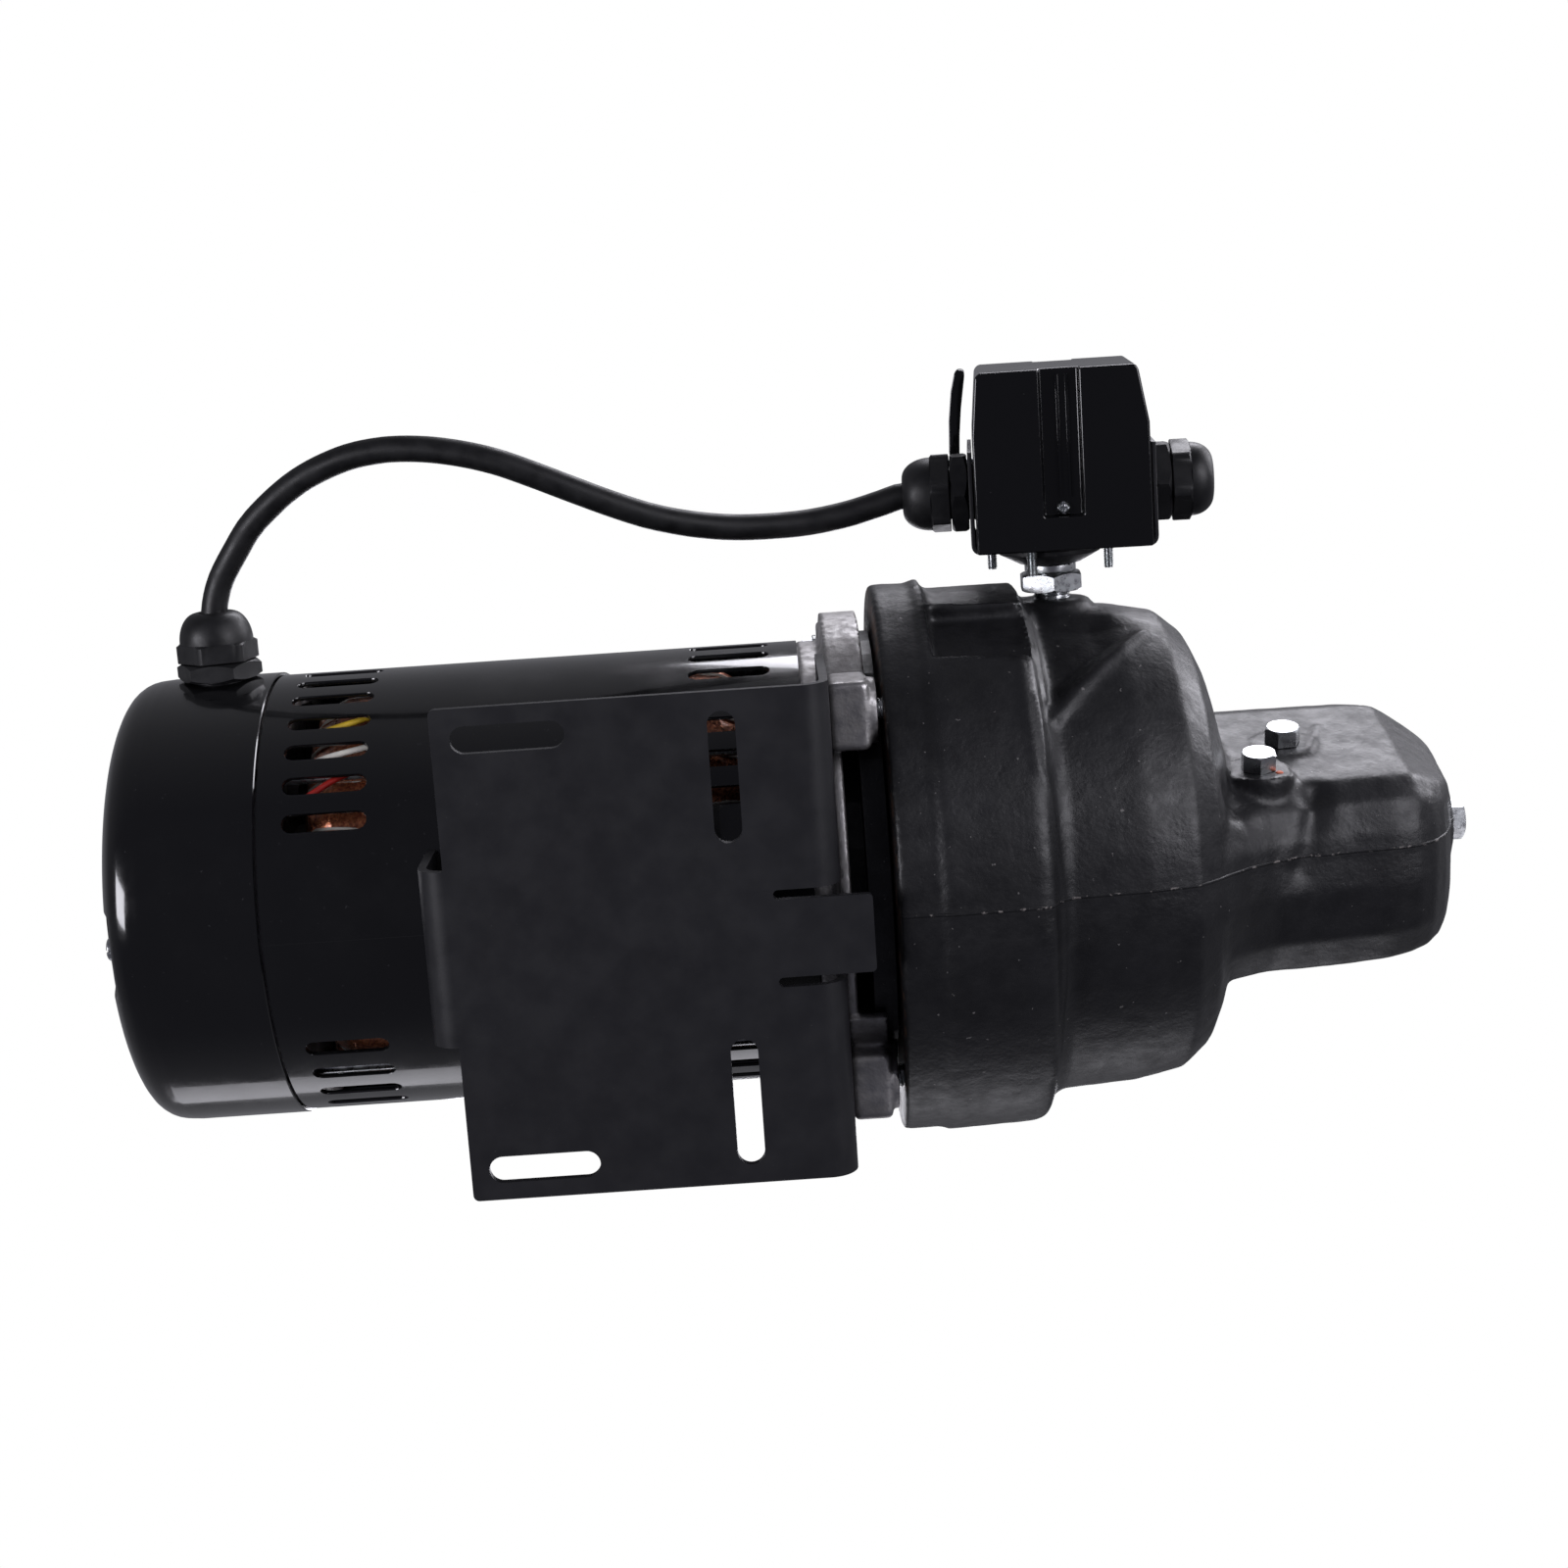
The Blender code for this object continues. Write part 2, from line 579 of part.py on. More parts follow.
def impeller():
    disc = [(0.0963, 0.0063), (0.0963, 0.0520), (0.0985, 0.0520), (0.0985, 0.0120), (0.1060, 0.0100)]
    wheel = turned("impeller", "phenolic", disc + [(0.1060, 0.0063)])
    for step in range(6):
        outer, inner = [], []
        for mark in range(5):
            share = mark / 4
            turn = math.tau * step / 6 + 1.0 * share
            radius = 0.0190 + 0.0325 * share
            outer.append((radius * math.cos(turn), radius * math.sin(turn)))
            inner.append((radius * math.cos(turn + 0.06), radius * math.sin(turn + 0.06)))
        outline = outer + inner[::-1]
        join(wheel, prism(f"vane_{step}", None, outline, 0.0980, 0.1087, centre=SHAFT_LINE, facing="+X"))
    join(wheel, tube("impeller_shroud", None, 0.1083, 0.1105, 0.0518, 0.0185))


def jet_parts():
    guide = [(0.0915, 0.0560), (0.0915, 0.0600), (0.1165, 0.0600), (0.1165, 0.0210), (0.1290, 0.0210)]
    guide += [(0.1290, 0.0175), (0.1130, 0.0175), (0.1130, 0.0560)]
    turned("guide_vane_plate", "phenolic", guide)
    venturi = [(0.1180, 0.0140), (0.1180, 0.0172), (0.1285, 0.0172), (0.1300, 0.0150), (0.2300, 0.0120)]
    venturi += [(0.2350, 0.0120), (0.2350, 0.0090), (0.2120, 0.0055), (0.1950, 0.0055)]
    turned("venturi_tube", "phenolic", venturi, steps=20)
    nozzle = [(0.2380, 0.0026), (0.2380, 0.0045), (0.2540, 0.0075), (0.2560, 0.0075), (0.2560, 0.0100)]
    nozzle += [(0.2617, 0.0100), (0.2617, 0.0066), (0.2690, 0.0066), (0.2690, 0.0048), (0.2560, 0.0045)]
    turned("jet_nozzle", "brass", nozzle, steps=16)


CASING_OUTSIDE = [
    (CASING_REAR, 0.0),
    (CASING_REAR, CASING_RADIUS),
    (0.1040, CASING_RADIUS),
    (0.1075, 0.0988),
    (0.1330, CASING_RADIUS),
    (0.1368, 0.0965),
    (0.1395, 0.0895),
    (0.1440, 0.0872),
    (0.1700, 0.0858),
    (0.1865, 0.0824),
    (0.1950, 0.0752),
    (0.1997, 0.0655),
    (0.2027, 0.0545),
    (0.2062, 0.0410),
    (0.2062, 0.0),
]
CASING_CAVITY = [
    (CASING_REAR - 0.01, 0.0),
    (CASING_REAR - 0.01, 0.0640),
    (0.0890, 0.0640),
    (0.0890, 0.0755),
    (0.1030, 0.0760),
    (0.1080, 0.0880),
    (0.1300, 0.0900),
    (0.1340, 0.0815),
    (0.1760, 0.0785),
    (0.1910, 0.0660),
    (0.1970, 0.0380),
    (0.1975, 0.0),
]
# The nose's section: Y and height from the shaft line. Its -Y side is a flat facet that leans inwards below.
NOSE_SECTION = [
    (-0.0385, 0.0200),
    (-0.0240, -0.0400),
    (-0.0170, -0.0475),
    (-0.0060, -0.0510),
    (0.0120, -0.0520),
    (0.0300, -0.0485),
    (0.0430, -0.0370),
    (0.0490, -0.0180),
    (0.0495, 0.0100),
    (0.0480, 0.0350),
    (0.0370, 0.0550),
    (0.0050, 0.0620),
    (-0.0220, 0.0575),
    (-0.0350, 0.0430),
]
# Along the nose: X, how full its -Y side, its +Y side, its underside and its upper side are there, and how
# far the ramp down from the volute stands out below it
NOSE_STATIONS = [
    (0.1500, 1.00, 1.06, 1.04, 1.04, 0.0300),
    (0.1700, 1.00, 1.06, 1.04, 1.04, 0.0290),
    (0.1865, 1.00, 1.06, 1.04, 1.04, 0.0260),
    (0.1960, 1.00, 1.06, 1.04, 1.04, 0.0210),
    (0.2060, 1.00, 1.03, 1.01, 1.01, 0.0130),
    (0.2170, 1.00, 1.00, 1.00, 1.00, 0.0060),
    (0.2300, 1.00, 1.00, 1.00, 1.00, 0.0020),
    (0.2450, 1.00, 0.99, 0.99, 0.99, 0.0),
    (0.2600, 1.00, 0.97, 0.97, 0.97, 0.0),
    (0.2680, 0.98, 0.94, 0.93, 0.95, 0.0),
    (0.2745, 0.87, 0.91, 0.84, 0.93, 0.0),
    (0.2800, 0.76, 0.86, 0.68, 0.90, 0.0),
    (0.2840, 0.68, 0.79, 0.49, 0.85, 0.0),
    (0.2870, 0.60, 0.70, 0.30, 0.79, 0.0),
    (NOSE_END, 0.50, 0.58, 0.16, 0.70, 0.0),
]


def nose():
    """The loft of the nose, from the volute to the suction face."""
    grid = bmesh.new()
    rings = []
    for x, left, right, low, tall, ramp in NOSE_STATIONS:
        ring = []
        for y, rise in NOSE_SECTION:
            drop = ramp * max(0.0, 1 - ((y - 0.003) / 0.045) ** 2) if rise < 0 else 0.0
            ring.append((y * (left if y < 0 else right), rise * (low if rise < 0 else tall) - drop))
        rings.append([grid.verts.new((x, y, AXIS_HEIGHT + rise)) for y, rise in ring])
    count = len(NOSE_SECTION)
    for back, front in zip(rings, rings[1:]):
        for step in range(count):
            after = (step + 1) % count
            grid.faces.new((back[step], back[after], front[after], front[step]))
    grid.faces.new(rings[0])
    grid.faces.new(rings[-1][::-1])
    return place("nose", mesh_of("nose", grid), None)


def along_facet(share, out=0.0):
    """Y and Z of a point on the nose's flat facet, share of the way down it and out from its face."""
    (y0, z0), (y1, z1) = NOSE_SECTION[0], NOSE_SECTION[1]
    slope = math.hypot(y1 - y0, z1 - z0)
    normal = ((z1 - z0) / slope, -(y1 - y0) / slope)
    y, z = y0 + (y1 - y0) * share, z0 + (z1 - z0) * share
    return y + normal[0] * out, AXIS_HEIGHT + z + normal[1] * out


def facet_turn():
    """The rotation that stands a piece up from the nose's flat facet."""
    (y0, z0), (y1, z1) = NOSE_SECTION[0], NOSE_SECTION[1]
    lean = math.atan2(y1 - y0, -(z1 - z0))
    return (math.pi / 2 + lean, 0.0, 0.0)


def boss(name, outline, centre, facing="+X", steps=16):
    """A round boss to join to the casing, from (along, radius) points down its side."""
    return turned(name, None, [(outline[0][0], 0)] + outline + [(outline[-1][0], 0)], centre, facing, steps)


def casing():
    middle = (0, CASING_SHIFT, AXIS_HEIGHT)
    body = turned("casing", "iron_black", CASING_OUTSIDE, centre=middle, steps=40)
    suction_at = (0, 0.005, AXIS_HEIGHT + SUCTION_HEIGHT)
    discharge_at = (DISCHARGE_X, CASING_SHIFT, AXIS_HEIGHT)
    switch_at = (SWITCH_X, 0, AXIS_HEIGHT)
    discharge = [(0.0500, 0.0270), (0.0860, 0.0245), (0.0950, 0.0240), (DISCHARGE_TOP, 0.0240)]
    clean_out = [(-0.0230, 0.0150), (-0.0012, 0.0145), (0.0, 0.0134)]
    priming = [(0.0500, 0.0190), (0.0660, 0.0170), (0.0700, 0.0165)]
    switch = [(0.0700, 0.0160), (0.0850, 0.0145), (0.0880, 0.0130)]
    join(
        body,
        nose(),
        rod("suction_boss", None, 0.2600, SUCTION_FACE, 0.0255, centre=suction_at, steps=24),
        boss("clean_out_boss", clean_out, CLEAN_OUT_AT),
        boss("discharge_boss", discharge, discharge_at, "+Z", 24),
        boss("priming_boss", priming, PRIMING_AT, "+Z"),
        boss("switch_boss", switch, switch_at, "-Y", 20),
    )
    for name, (x, share, rise) in FACET_PLUGS.items():
        at = (x, *along_facet(share))
        join(body, boss(f"{name}_boss", [(-0.016, 0.0115), (rise + 0.0012, 0.0115)], at, facet_turn()))
    # The shallow pocket behind the flange, on the switch's side
    pocket = ring_sector(55, 130, 0.0930, 0.1080)
    cut(body, prism("flank_pocket", None, pocket, 0.1045, 0.1405, centre=middle, facing="+X"))
    casing_bores(body, suction_at, discharge_at, switch_at)


def casing_bores(body, suction_at, discharge_at, switch_at):
    middle = (0, CASING_SHIFT, AXIS_HEIGHT)
    low, high = AXIS_HEIGHT - 0.0260, AXIS_HEIGHT + 0.0490
    suction_chamber = box("suction_chamber", None, (0.2080, -0.0240, low), (0.2620, 0.0370, high))
    low, high = AXIS_HEIGHT - 0.0380, AXIS_HEIGHT + 0.0095
    jet_chamber = box("jet_chamber", None, (0.2670, -0.0080, low), (0.2750, 0.0150, high))
    discharge = {"centre": discharge_at, "facing": "+Z", "steps": 20}
    cut(
        body,
        turned("casing_cavity", None, CASING_CAVITY, centre=middle),
        suction_chamber,
        rod("suction_bore", None, 0.2500, 0.3000, SUCTION_BORE, centre=suction_at, steps=24),
        rod("venturi_bore", None, 0.1900, 0.2150, 0.0160, steps=16),
        rod("jet_bore", None, 0.2600, 0.2720, 0.0070, steps=12),
        jet_chamber,
        rod("jet_feed", None, 0.1850, 0.2710, 0.0050, centre=(0, 0.004, AXIS_HEIGHT - 0.0325), steps=10),
        rod("clean_out_thread", None, -0.0180, 0.0100, 0.0068, centre=CLEAN_OUT_AT, steps=12),
        rod("discharge_bore", None, 0.0700, 0.1200, DISCHARGE_BORE, **discharge),
        rod("priming_thread", None, 0.0450, 0.0900, 0.0100, centre=PRIMING_AT, facing="+Z", steps=14),
        rod("switch_thread", None, 0.0700, 0.1000, 0.0071, centre=switch_at, facing="-Y", steps=14),
    )
    for name, (x, share, rise) in FACET_PLUGS.items():
        where = {"centre": (x, *along_facet(share)), "facing": facet_turn(), "steps": 10}
        cut(body, rod(f"{name}_thread", None, rise + 0.0012 - PORT_DEPTH, 0.03, 0.0051, **where))
    for index, (side, rise) in enumerate(DIAGONALS):
        at = (0, side * LUG_OFFSET, AXIS_HEIGHT + rise * LUG_OFFSET)
        cut(body, rod(f"casing_bolt_hole_{index}", None, 0.0800, 0.1000, 0.0043, centre=at, steps=10))


def hex_plug(name, head, thread, head_high, thread_long, centre, facing):
    """A pipe plug: a hexagon head with a chamfered top on a plain thread. Its seat is at its own origin."""
    plug = prism(name, "zinc", ring_points(head, 6), GAP, head_high, centre=centre, facing=facing)
    crown = [(-0.01, 0), (-0.01, head * 1.3), (head_high - head * 0.18, head * 1.06)]
    crown += [(head_high, head * 0.86), (head_high, 0)]
    where = {"centre": centre, "facing": facing}
    combine(plug, turned(f"{name}_crown", None, crown, steps=12, **where), "INTERSECT")
    join(plug, rod(f"{name}_shank", None, -thread_long, GAP + 0.0005, thread, steps=10, **where))


def casing_plugs():
    for name, (x, share, rise) in FACET_PLUGS.items():
        y, z = along_facet(share, rise + 0.0012)
        hex_plug(name, 0.0064, 0.0047, 0.0062, 0.0100, (x, y, z), facet_turn())
    hex_plug("clean_out_plug", 0.0075, 0.0064, 0.0058, 0.0080, CLEAN_OUT_AT, "+X")
    x, y, z = PRIMING_AT
    hex_plug("priming_plug", 0.0125, 0.0096, 0.0080, 0.0130, (x, y, z + 0.0700), "+Z")


def switch_stem():
    at = (SWITCH_X, 0, AXIS_HEIGHT)
    nipple = [(0.0760, 0.0035), (0.0760, 0.0066), (0.1010, 0.0066), (0.1010, 0.0035)]
    turned("switch_nipple", "zinc", nipple, centre=at, facing="-Y", steps=14)
    collar = [(0.0977, 0.0071), (0.0977, 0.0086), (0.0981, 0.0090), (0.1002, 0.0090), (0.1006, 0.0086)]
    collar += [(0.1006, 0.0071)]
    turned("nipple_collar", "zinc", collar, centre=at, facing="-Y", steps=16)
    nut = prism("coupler_nut", "zinc", ring_points(0.0118, 6, 0.5), 0.0909, 0.0973, centre=at, facing="-Y")
    crown = [(0.0888, 0), (0.0888, 0.0100), (0.0909, 0.0106), (0.0921, 0.0124), (0.0961, 0.0124)]
    crown += [(0.0973, 0.0106), (0.0988, 0.0100), (0.0988, 0)]
    combine(nut, turned("coupler_crown", None, crown, centre=at, facing="-Y", steps=12), "INTERSECT")
    cut(nut, rod("coupler_thread", None, 0.09, 0.10, 0.0071, centre=at, facing="-Y", steps=14))


def switch_body():
    """The switch's steel body: a floor and two side walls that carry the glands, on its flange."""
    at = (SWITCH_X, 0, AXIS_HEIGHT)
    depth = COVER_HALF_DEPTH - 0.0030
    low, high = COVER_LOW_X - 0.0019, COVER_HIGH_X + 0.0019
    bend = 0.0025
    inner = FRAME_FLOOR - FRAME_SHEET
    channel = [(high, FRAME_WALL_TOP), (high, FRAME_FLOOR - bend), (high - bend, FRAME_FLOOR)]
    channel += [(low + bend, FRAME_FLOOR), (low, FRAME_FLOOR - bend), (low, FRAME_WALL_TOP)]
    channel += [(low + FRAME_SHEET, FRAME_WALL_TOP), (low + FRAME_SHEET, FRAME_FLOOR - bend)]
    channel += [(low + bend, inner), (high - bend, inner), (high - FRAME_SHEET, FRAME_FLOOR - bend)]
    channel += [(high - FRAME_SHEET, FRAME_WALL_TOP)]
    frame = prism("switch_frame", "satin_black", channel, AXIS_HEIGHT - depth, AXIS_HEIGHT + depth)
    cut(frame, rod("plunger_hole", None, 0.09, 0.11, 0.0062, centre=at, facing="-Y", steps=12))
    gland_holes(frame, "frame", 0.0112)
    tub = [(0.1009, 0), (0.1009, 0.0110), (0.1045, 0.0178), (0.1063, 0.0178), (0.1063, 0)]
    flange = turned("diaphragm_flange", "iron_black", tub, centre=at, facing="-Y")
    bore = rod("diaphragm_flange_bore", None, 0.09, 0.11, 0.0071, centre=at, facing="-Y", steps=14)
    cut(flange, bore)
    rod("diaphragm", "rubber", 0.1066, 0.1077, 0.0172, centre=at, facing="-Y")
    screw = [(0.0985, 0), (0.0985, 0.0014), (0.0990, 0.0018), (0.1086, 0.0018), (0.1086, 0)]
    for index, (side, rise) in enumerate(FRAME_SCREWS):
        spot = (SWITCH_X + side, 0, AXIS_HEIGHT + rise)
        join(frame, turned(f"frame_screw_{index}", None, screw, centre=spot, facing="-Y", steps=8))


def gland_holes(target, name, radius):
    """The two holes that the glands' threads pass, in the switch's -X and +X sides."""
    where = {"centre": ((COVER_LOW_X + COVER_HIGH_X) / 2, SWITCH_GLAND_Y, AXIS_HEIGHT), "steps": 16}
    for facing in ("-X", "+X"):
        cut(target, rod(f"{name}_hole_{facing}", None, 0.02, 0.08, radius, facing=facing, **where))


def switch_works():
    """The plunger, the contact arm it lifts, the contact block, and the range spring on its stud."""
    plunger = [(0.1080, 0), (0.1080, 0.0055), (0.1096, 0.0055), (0.1096, 0.0030), (0.1122, 0.0030)]
    plunger += [(0.1128, 0.0022), (0.1128, 0)]
    turned("plunger", "brass", plunger, centre=(SWITCH_X, 0, AXIS_HEIGHT), facing="-Y", steps=12)
    contact_arm()
    z = AXIS_HEIGHT
    block = box("contact_block", "phenolic", (0.1680, -0.1290, z - 0.0240), (0.1788, -0.1097, z + 0.0240))
    join(block, box("contact_rest", None, (0.1642, -0.1210, z - 0.0180), (0.1690, -0.1185, z + 0.0180)))
    frame = bpy.data.objects["switch_frame"]
    along = {"centre": RANGE_STUD, "facing": "-Y"}
    join(frame, rod("range_stud", None, 0.1085, 0.1580, 0.0030, steps=16, **along))
    join(frame, rod("range_stud_foot", None, 0.1085, 0.1110, 0.0060, steps=16, **along))
    nut = prism("range_nut", "zinc", ring_points(0.0068, 6), 0.1500, 0.1550, **along)
    cut(nut, rod("range_nut_thread", None, 0.14, 0.16, 0.0033, steps=16, **along))
    wire_coil("range_spring", RANGE_STUD, 0.1113, 0.1489, 0.0057, 0.0009, 5)


def contact_arm():
    """The arm that the plunger lifts. It turns on a pin between two ears of the switch's body."""
    outline = [(-0.0030, -0.0016), (0.0335, -0.0016), (0.0335, 0.0004), (-0.0030, 0.0004)]
    arm = prism("contact_arm", "zinc", outline, -0.0110, 0.0110, centre=ARM_PIVOT)
    x, y, z = ARM_PIVOT
    eye_low, eye_high = (SWITCH_X - 0.0075, y - 0.01, z + 0.0050), (SWITCH_X + 0.0075, y + 0.01, z + 0.0200)
    cut(arm, box("contact_arm_eye", None, eye_low, eye_high))
    where = {"centre": ARM_PIVOT, "facing": "+Z", "steps": 16}
    join(arm, rod("contact_arm_barrel", None, -0.0110, 0.0110, 0.0032, **where))
    cut(arm, rod("contact_arm_bore", None, -0.02, 0.02, 0.0015, **where))
    frame = bpy.data.objects["switch_frame"]
    join(frame, rod("contact_arm_pin", None, -0.0150, 0.0150, 0.0012, **where))
    for way in (-1, 1):
        low, high = sorted((z + way * 0.0125, z + way * 0.0140))
        join(frame, box(f"pin_ear_{way}", None, (x - 0.0035, y - 0.0025, low), (x + 0.0035, -0.1085, high)))


def wire_coil(name, centre, foot, top, radius, wire, turns):
    """A compression spring round a stud along -Y, from foot to top."""
    curve = bpy.data.curves.new(name, "CURVE")
    curve.dimensions = "3D"
    curve.bevel_depth = wire
    curve.bevel_resolution = 1
    curve.use_fill_caps = True
    low, high = foot + wire, top - wire
    line = curve.splines.new("POLY")
    count = turns * 8
    line.points.add(count)
    for step, point in enumerate(line.points):
        turn = math.tau * turns * step / count
        along = low + (high - low) * step / count
        point.co = (radius * math.cos(turn), -along, radius * math.sin(turn), 1.0)
    made = bpy.data.objects.new(name, curve)
    made.location = centre
    PUMP.objects.link(made)
    curve.materials.append(finish("zinc"))


def switch_cover():
    """The moulded cover: two towers with a deep channel between them, open towards the casing."""
    deep = COVER_HALF_DEPTH
    wall = COVER_WALL
    side = [
        (COVER_LOW_X, COVER_MOUTH),
        (COVER_LOW_X, -0.1480),
        (COVER_LOW_X + 0.0018, COVER_TOP + 0.0015),
        (COVER_LOW_X + 0.0033, COVER_TOP),
        (COVER_HIGH_X - 0.0044, COVER_TOP),
        (COVER_HIGH_X - 0.0032, COVER_TOP + 0.0012),
        (COVER_HIGH_X, -0.1500),
        (COVER_HIGH_X, COVER_MOUTH),
    ]
    cover = prism("switch_cover", "gloss_black", side[::-1], AXIS_HEIGHT - deep, AXIS_HEIGHT + deep)
    hollow = [
        (COVER_LOW_X + wall, COVER_MOUTH + 0.01),
        (COVER_LOW_X + wall, -0.1480),
        (COVER_LOW_X + 0.0018 + wall, COVER_TOP + wall),
        (COVER_HIGH_X - 0.0034 - wall, COVER_TOP + wall),
        (COVER_HIGH_X - wall, -0.1500),
        (COVER_HIGH_X - wall, COVER_MOUTH + 0.01),
    ]
    low, high = AXIS_HEIGHT - deep + wall, AXIS_HEIGHT + deep - wall
    cut(cover, prism("cover_inside", None, hollow[::-1], low, high))
    # A channel in the front and back faces, which opens through the top
    left, right = CHANNEL_X
    for way in (-1, 1):
        near, far = sorted((AXIS_HEIGHT + way * (deep - 0.0002), AXIS_HEIGHT + way * (deep - 0.0088)))
        low, high = (left - 0.0018, COVER_TOP + 0.0008, near), (right + 0.0018, CHANNEL_END + 0.0018, far)
        join(cover, box(f"cover_liner_{way}", None, low, high))
    for way in (-1, 1):
        near, far = sorted((AXIS_HEIGHT + way * (deep + 0.01), AXIS_HEIGHT + way * (deep - CHANNEL_DEPTH)))
        low, high = (left, COVER_TOP - 0.01, near), (right, CHANNEL_END, far)
        cut(cover, box(f"cover_channel_{way}", None, low, high))
    # The side walls stop above the floor of the switch's body, and the front and back walls hide it
    depth, sill = deep - 0.0030 + GAP, FRAME_FLOOR - 2 * FRAME_SHEET
    low, high = (COVER_LOW_X - 0.01, sill, AXIS_HEIGHT - depth), (COVER_HIGH_X + 0.01, -0.09, AXIS_HEIGHT + depth)
    cut(cover, box("cover_sill", None, low, high))
    gland_holes(cover, "cover", 0.0118)
    pin_at = (COVER_LOW_X, *LEVER_PIVOT[1:])
    pin_hole = rod("cover_lever_hole", None, -0.01, 0.01, 0.0026, centre=pin_at, steps=16)
    cut(cover, pin_hole)
    cut(bpy.data.objects["switch_frame"], pin_hole)
    screw = [(-0.0003, 0), (-0.0003, 0.0023), (-0.0016, 0.0023), (-0.0022, 0.0017), (-0.0022, 0)]
    screw_at = ((left + right) / 2, CHANNEL_END - 0.0026, AXIS_HEIGHT - deep + CHANNEL_DEPTH)
    turned("cover_screw", "zinc", screw, centre=screw_at, facing="+Z", steps=16)


def switch_lever():
    """The AUTO/OFF lever outside the cover's -X side, and its pivot pin."""
    pin = rod("lever_pin", "zinc", 0.1166, 0.1300, 0.0020, centre=LEVER_PIVOT, steps=16)
    join(pin, rod("lever_pin_head", None, 0.1158, 0.1168, 0.0034, centre=LEVER_PIVOT, steps=16))
    blade = [(0.1205, 0.0050), (0.1180, 0.0050), (0.1172, -0.0050), (0.1176, -0.0160), (0.1188, -0.0260)]
    blade += [(0.1204, -0.0325), (0.1216, -0.0338), (0.1238, -0.0335), (0.1240, -0.0315), (0.1222, -0.0200)]
    blade += [(0.1212, -0.0100)]
    lever = prism("switch_lever", "gloss_black", blade, -0.0045, 0.0045, centre=LEVER_PIVOT)
    cut(lever, rod("lever_bore", None, 0.11, 0.13, 0.0023, centre=LEVER_PIVOT, steps=16))


def gland(name, centre, facing, dome):
    """A cable gland in two pieces: a hexagon body with its thread, and a hexagon dome nut, both bored."""
    where = {"centre": centre, "facing": facing}
    body = prism(f"{name}_body", "nylon", ring_points(GLAND_HEX, 6), 0.0, 0.0060, **where)
    neck = rod(f"{name}_neck", None, 0.0050, 0.0105, 0.0098, steps=12, **where)
    thread = rod(f"{name}_thread", None, -0.0080, 0.0010, 0.0105, steps=12, **where)
    through = rod(f"{name}_bore", None, -0.03, 0.04, CORD_RADIUS + 2 * GAP, steps=12, **where)
    cut(join(body, neck, thread), through)
    nut = prism(f"{name}_nut", "nylon", ring_points(GLAND_HEX - 0.0006, 6, 0.3), 0.0064, 0.0130, **where)
    crown = [(0.0125, 0), (0.0125, 0.0128)]
    for step in range(1, 4):
        turn = math.pi / 2 * step / 4
        crown.append((0.0125 + dome * math.sin(turn), 0.0062 + 0.0066 * math.cos(turn)))
    crown += [(0.0125 + dome, 0.0062), (0.0125 + dome, 0)]
    join(nut, turned(f"{name}_dome", None, crown, steps=16, **where))
    cut(nut, rod(f"{name}_socket", None, 0.0, 0.0110, 0.0101, steps=12, **where), through)


def swing_switch():
    """Turns the pressure switch a little round its stem."""
    pieces = ["switch_frame", "contact_arm", "contact_block", "range_nut", "range_spring", "switch_cover"]
    pieces += ["cover_screw", "switch_lever", "lever_pin", "cord_gland_body", "cord_gland_nut"]
    pieces += ["spare_gland_body", "spare_gland_nut"]
    stem = Matrix.Translation((SWITCH_X, 0, AXIS_HEIGHT))
    turn = stem @ Matrix.Rotation(SWITCH_TURN, 4, "Y") @ stem.inverted()
    bpy.context.view_layer.update()
    waiting = [bpy.data.objects[name] for name in pieces]
    turned_already = set()
    while waiting:
        made = waiting.pop()
        if made.name in turned_already:
            continue
        turned_already.add(made.name)
        made.matrix_world = turn @ made.matrix_world
        waiting += [step.object for step in made.modifiers if step.type == "BOOLEAN"]


def smooth_route(points, spacing):
    """Points about spacing apart on a Catmull-Rom curve through the given ones."""
    path = [Vector(point) for point in points]
    ends = [2 * path[0] - path[1]] + path + [2 * path[-1] - path[-2]]
    fine = []
    for a, b, c, d in zip(ends, ends[1:], ends[2:], ends[3:]):
        for step in range(12):
            t = step / 12
            bend, twist = 2 * a - 5 * b + 4 * c - d, 3 * b - a - 3 * c + d
            fine.append(0.5 * (2 * b + (c - a) * t + bend * t**2 + twist * t**3))
    fine.append(path[-1])
    total = sum((b - a).length for a, b in zip(fine, fine[1:]))
    count = max(2, round(total / spacing))
    kept, gone, target = [fine[0]], 0.0, total / count
    for a, b in zip(fine, fine[1:]):
        gone += (b - a).length
        if gone >= target * len(kept) - 1e-9 and len(kept) < count:
            kept.append(b)
    return kept + [fine[-1]]


def power_cord():
    curve = bpy.data.curves.new("power_cord", "CURVE")
    curve.dimensions = "3D"
    curve.bevel_depth = CORD_RADIUS
    curve.bevel_resolution = 2
    curve.use_fill_caps = True
    route = smooth_route(CORD_ROUTE, 0.0100)
    line = curve.splines.new("POLY")
    line.points.add(len(route) - 1)
    for point, place_at in zip(line.points, route):
        point.co = (*place_at, 1.0)
    made = bpy.data.objects.new("power_cord", curve)
    PUMP.objects.link(made)
    curve.materials.append(finish("rubber"))


motor_shell()
rear_end_cap()
rear_end_bell()
stator()
front_bracket()
casing_bolts()
rotor()
cooling_fan()
start_gear()
base_bracket()
seal_set()
impeller()
jet_parts()
casing()
casing_plugs()
switch_stem()
switch_body()
switch_works()
switch_cover()
switch_lever()
gland("motor_gland", (MOTOR_GLAND_X, -0.0794, AXIS_HEIGHT), "-Y", 0.0110)
gland("cord_gland", (COVER_LOW_X - 0.0023, SWITCH_GLAND_Y, AXIS_HEIGHT), "-X", 0.0105)
gland("spare_gland", (COVER_HIGH_X + 0.0023, SWITCH_GLAND_Y, AXIS_HEIGHT), "+X", 0.0084)
swing_switch()
power_cord()
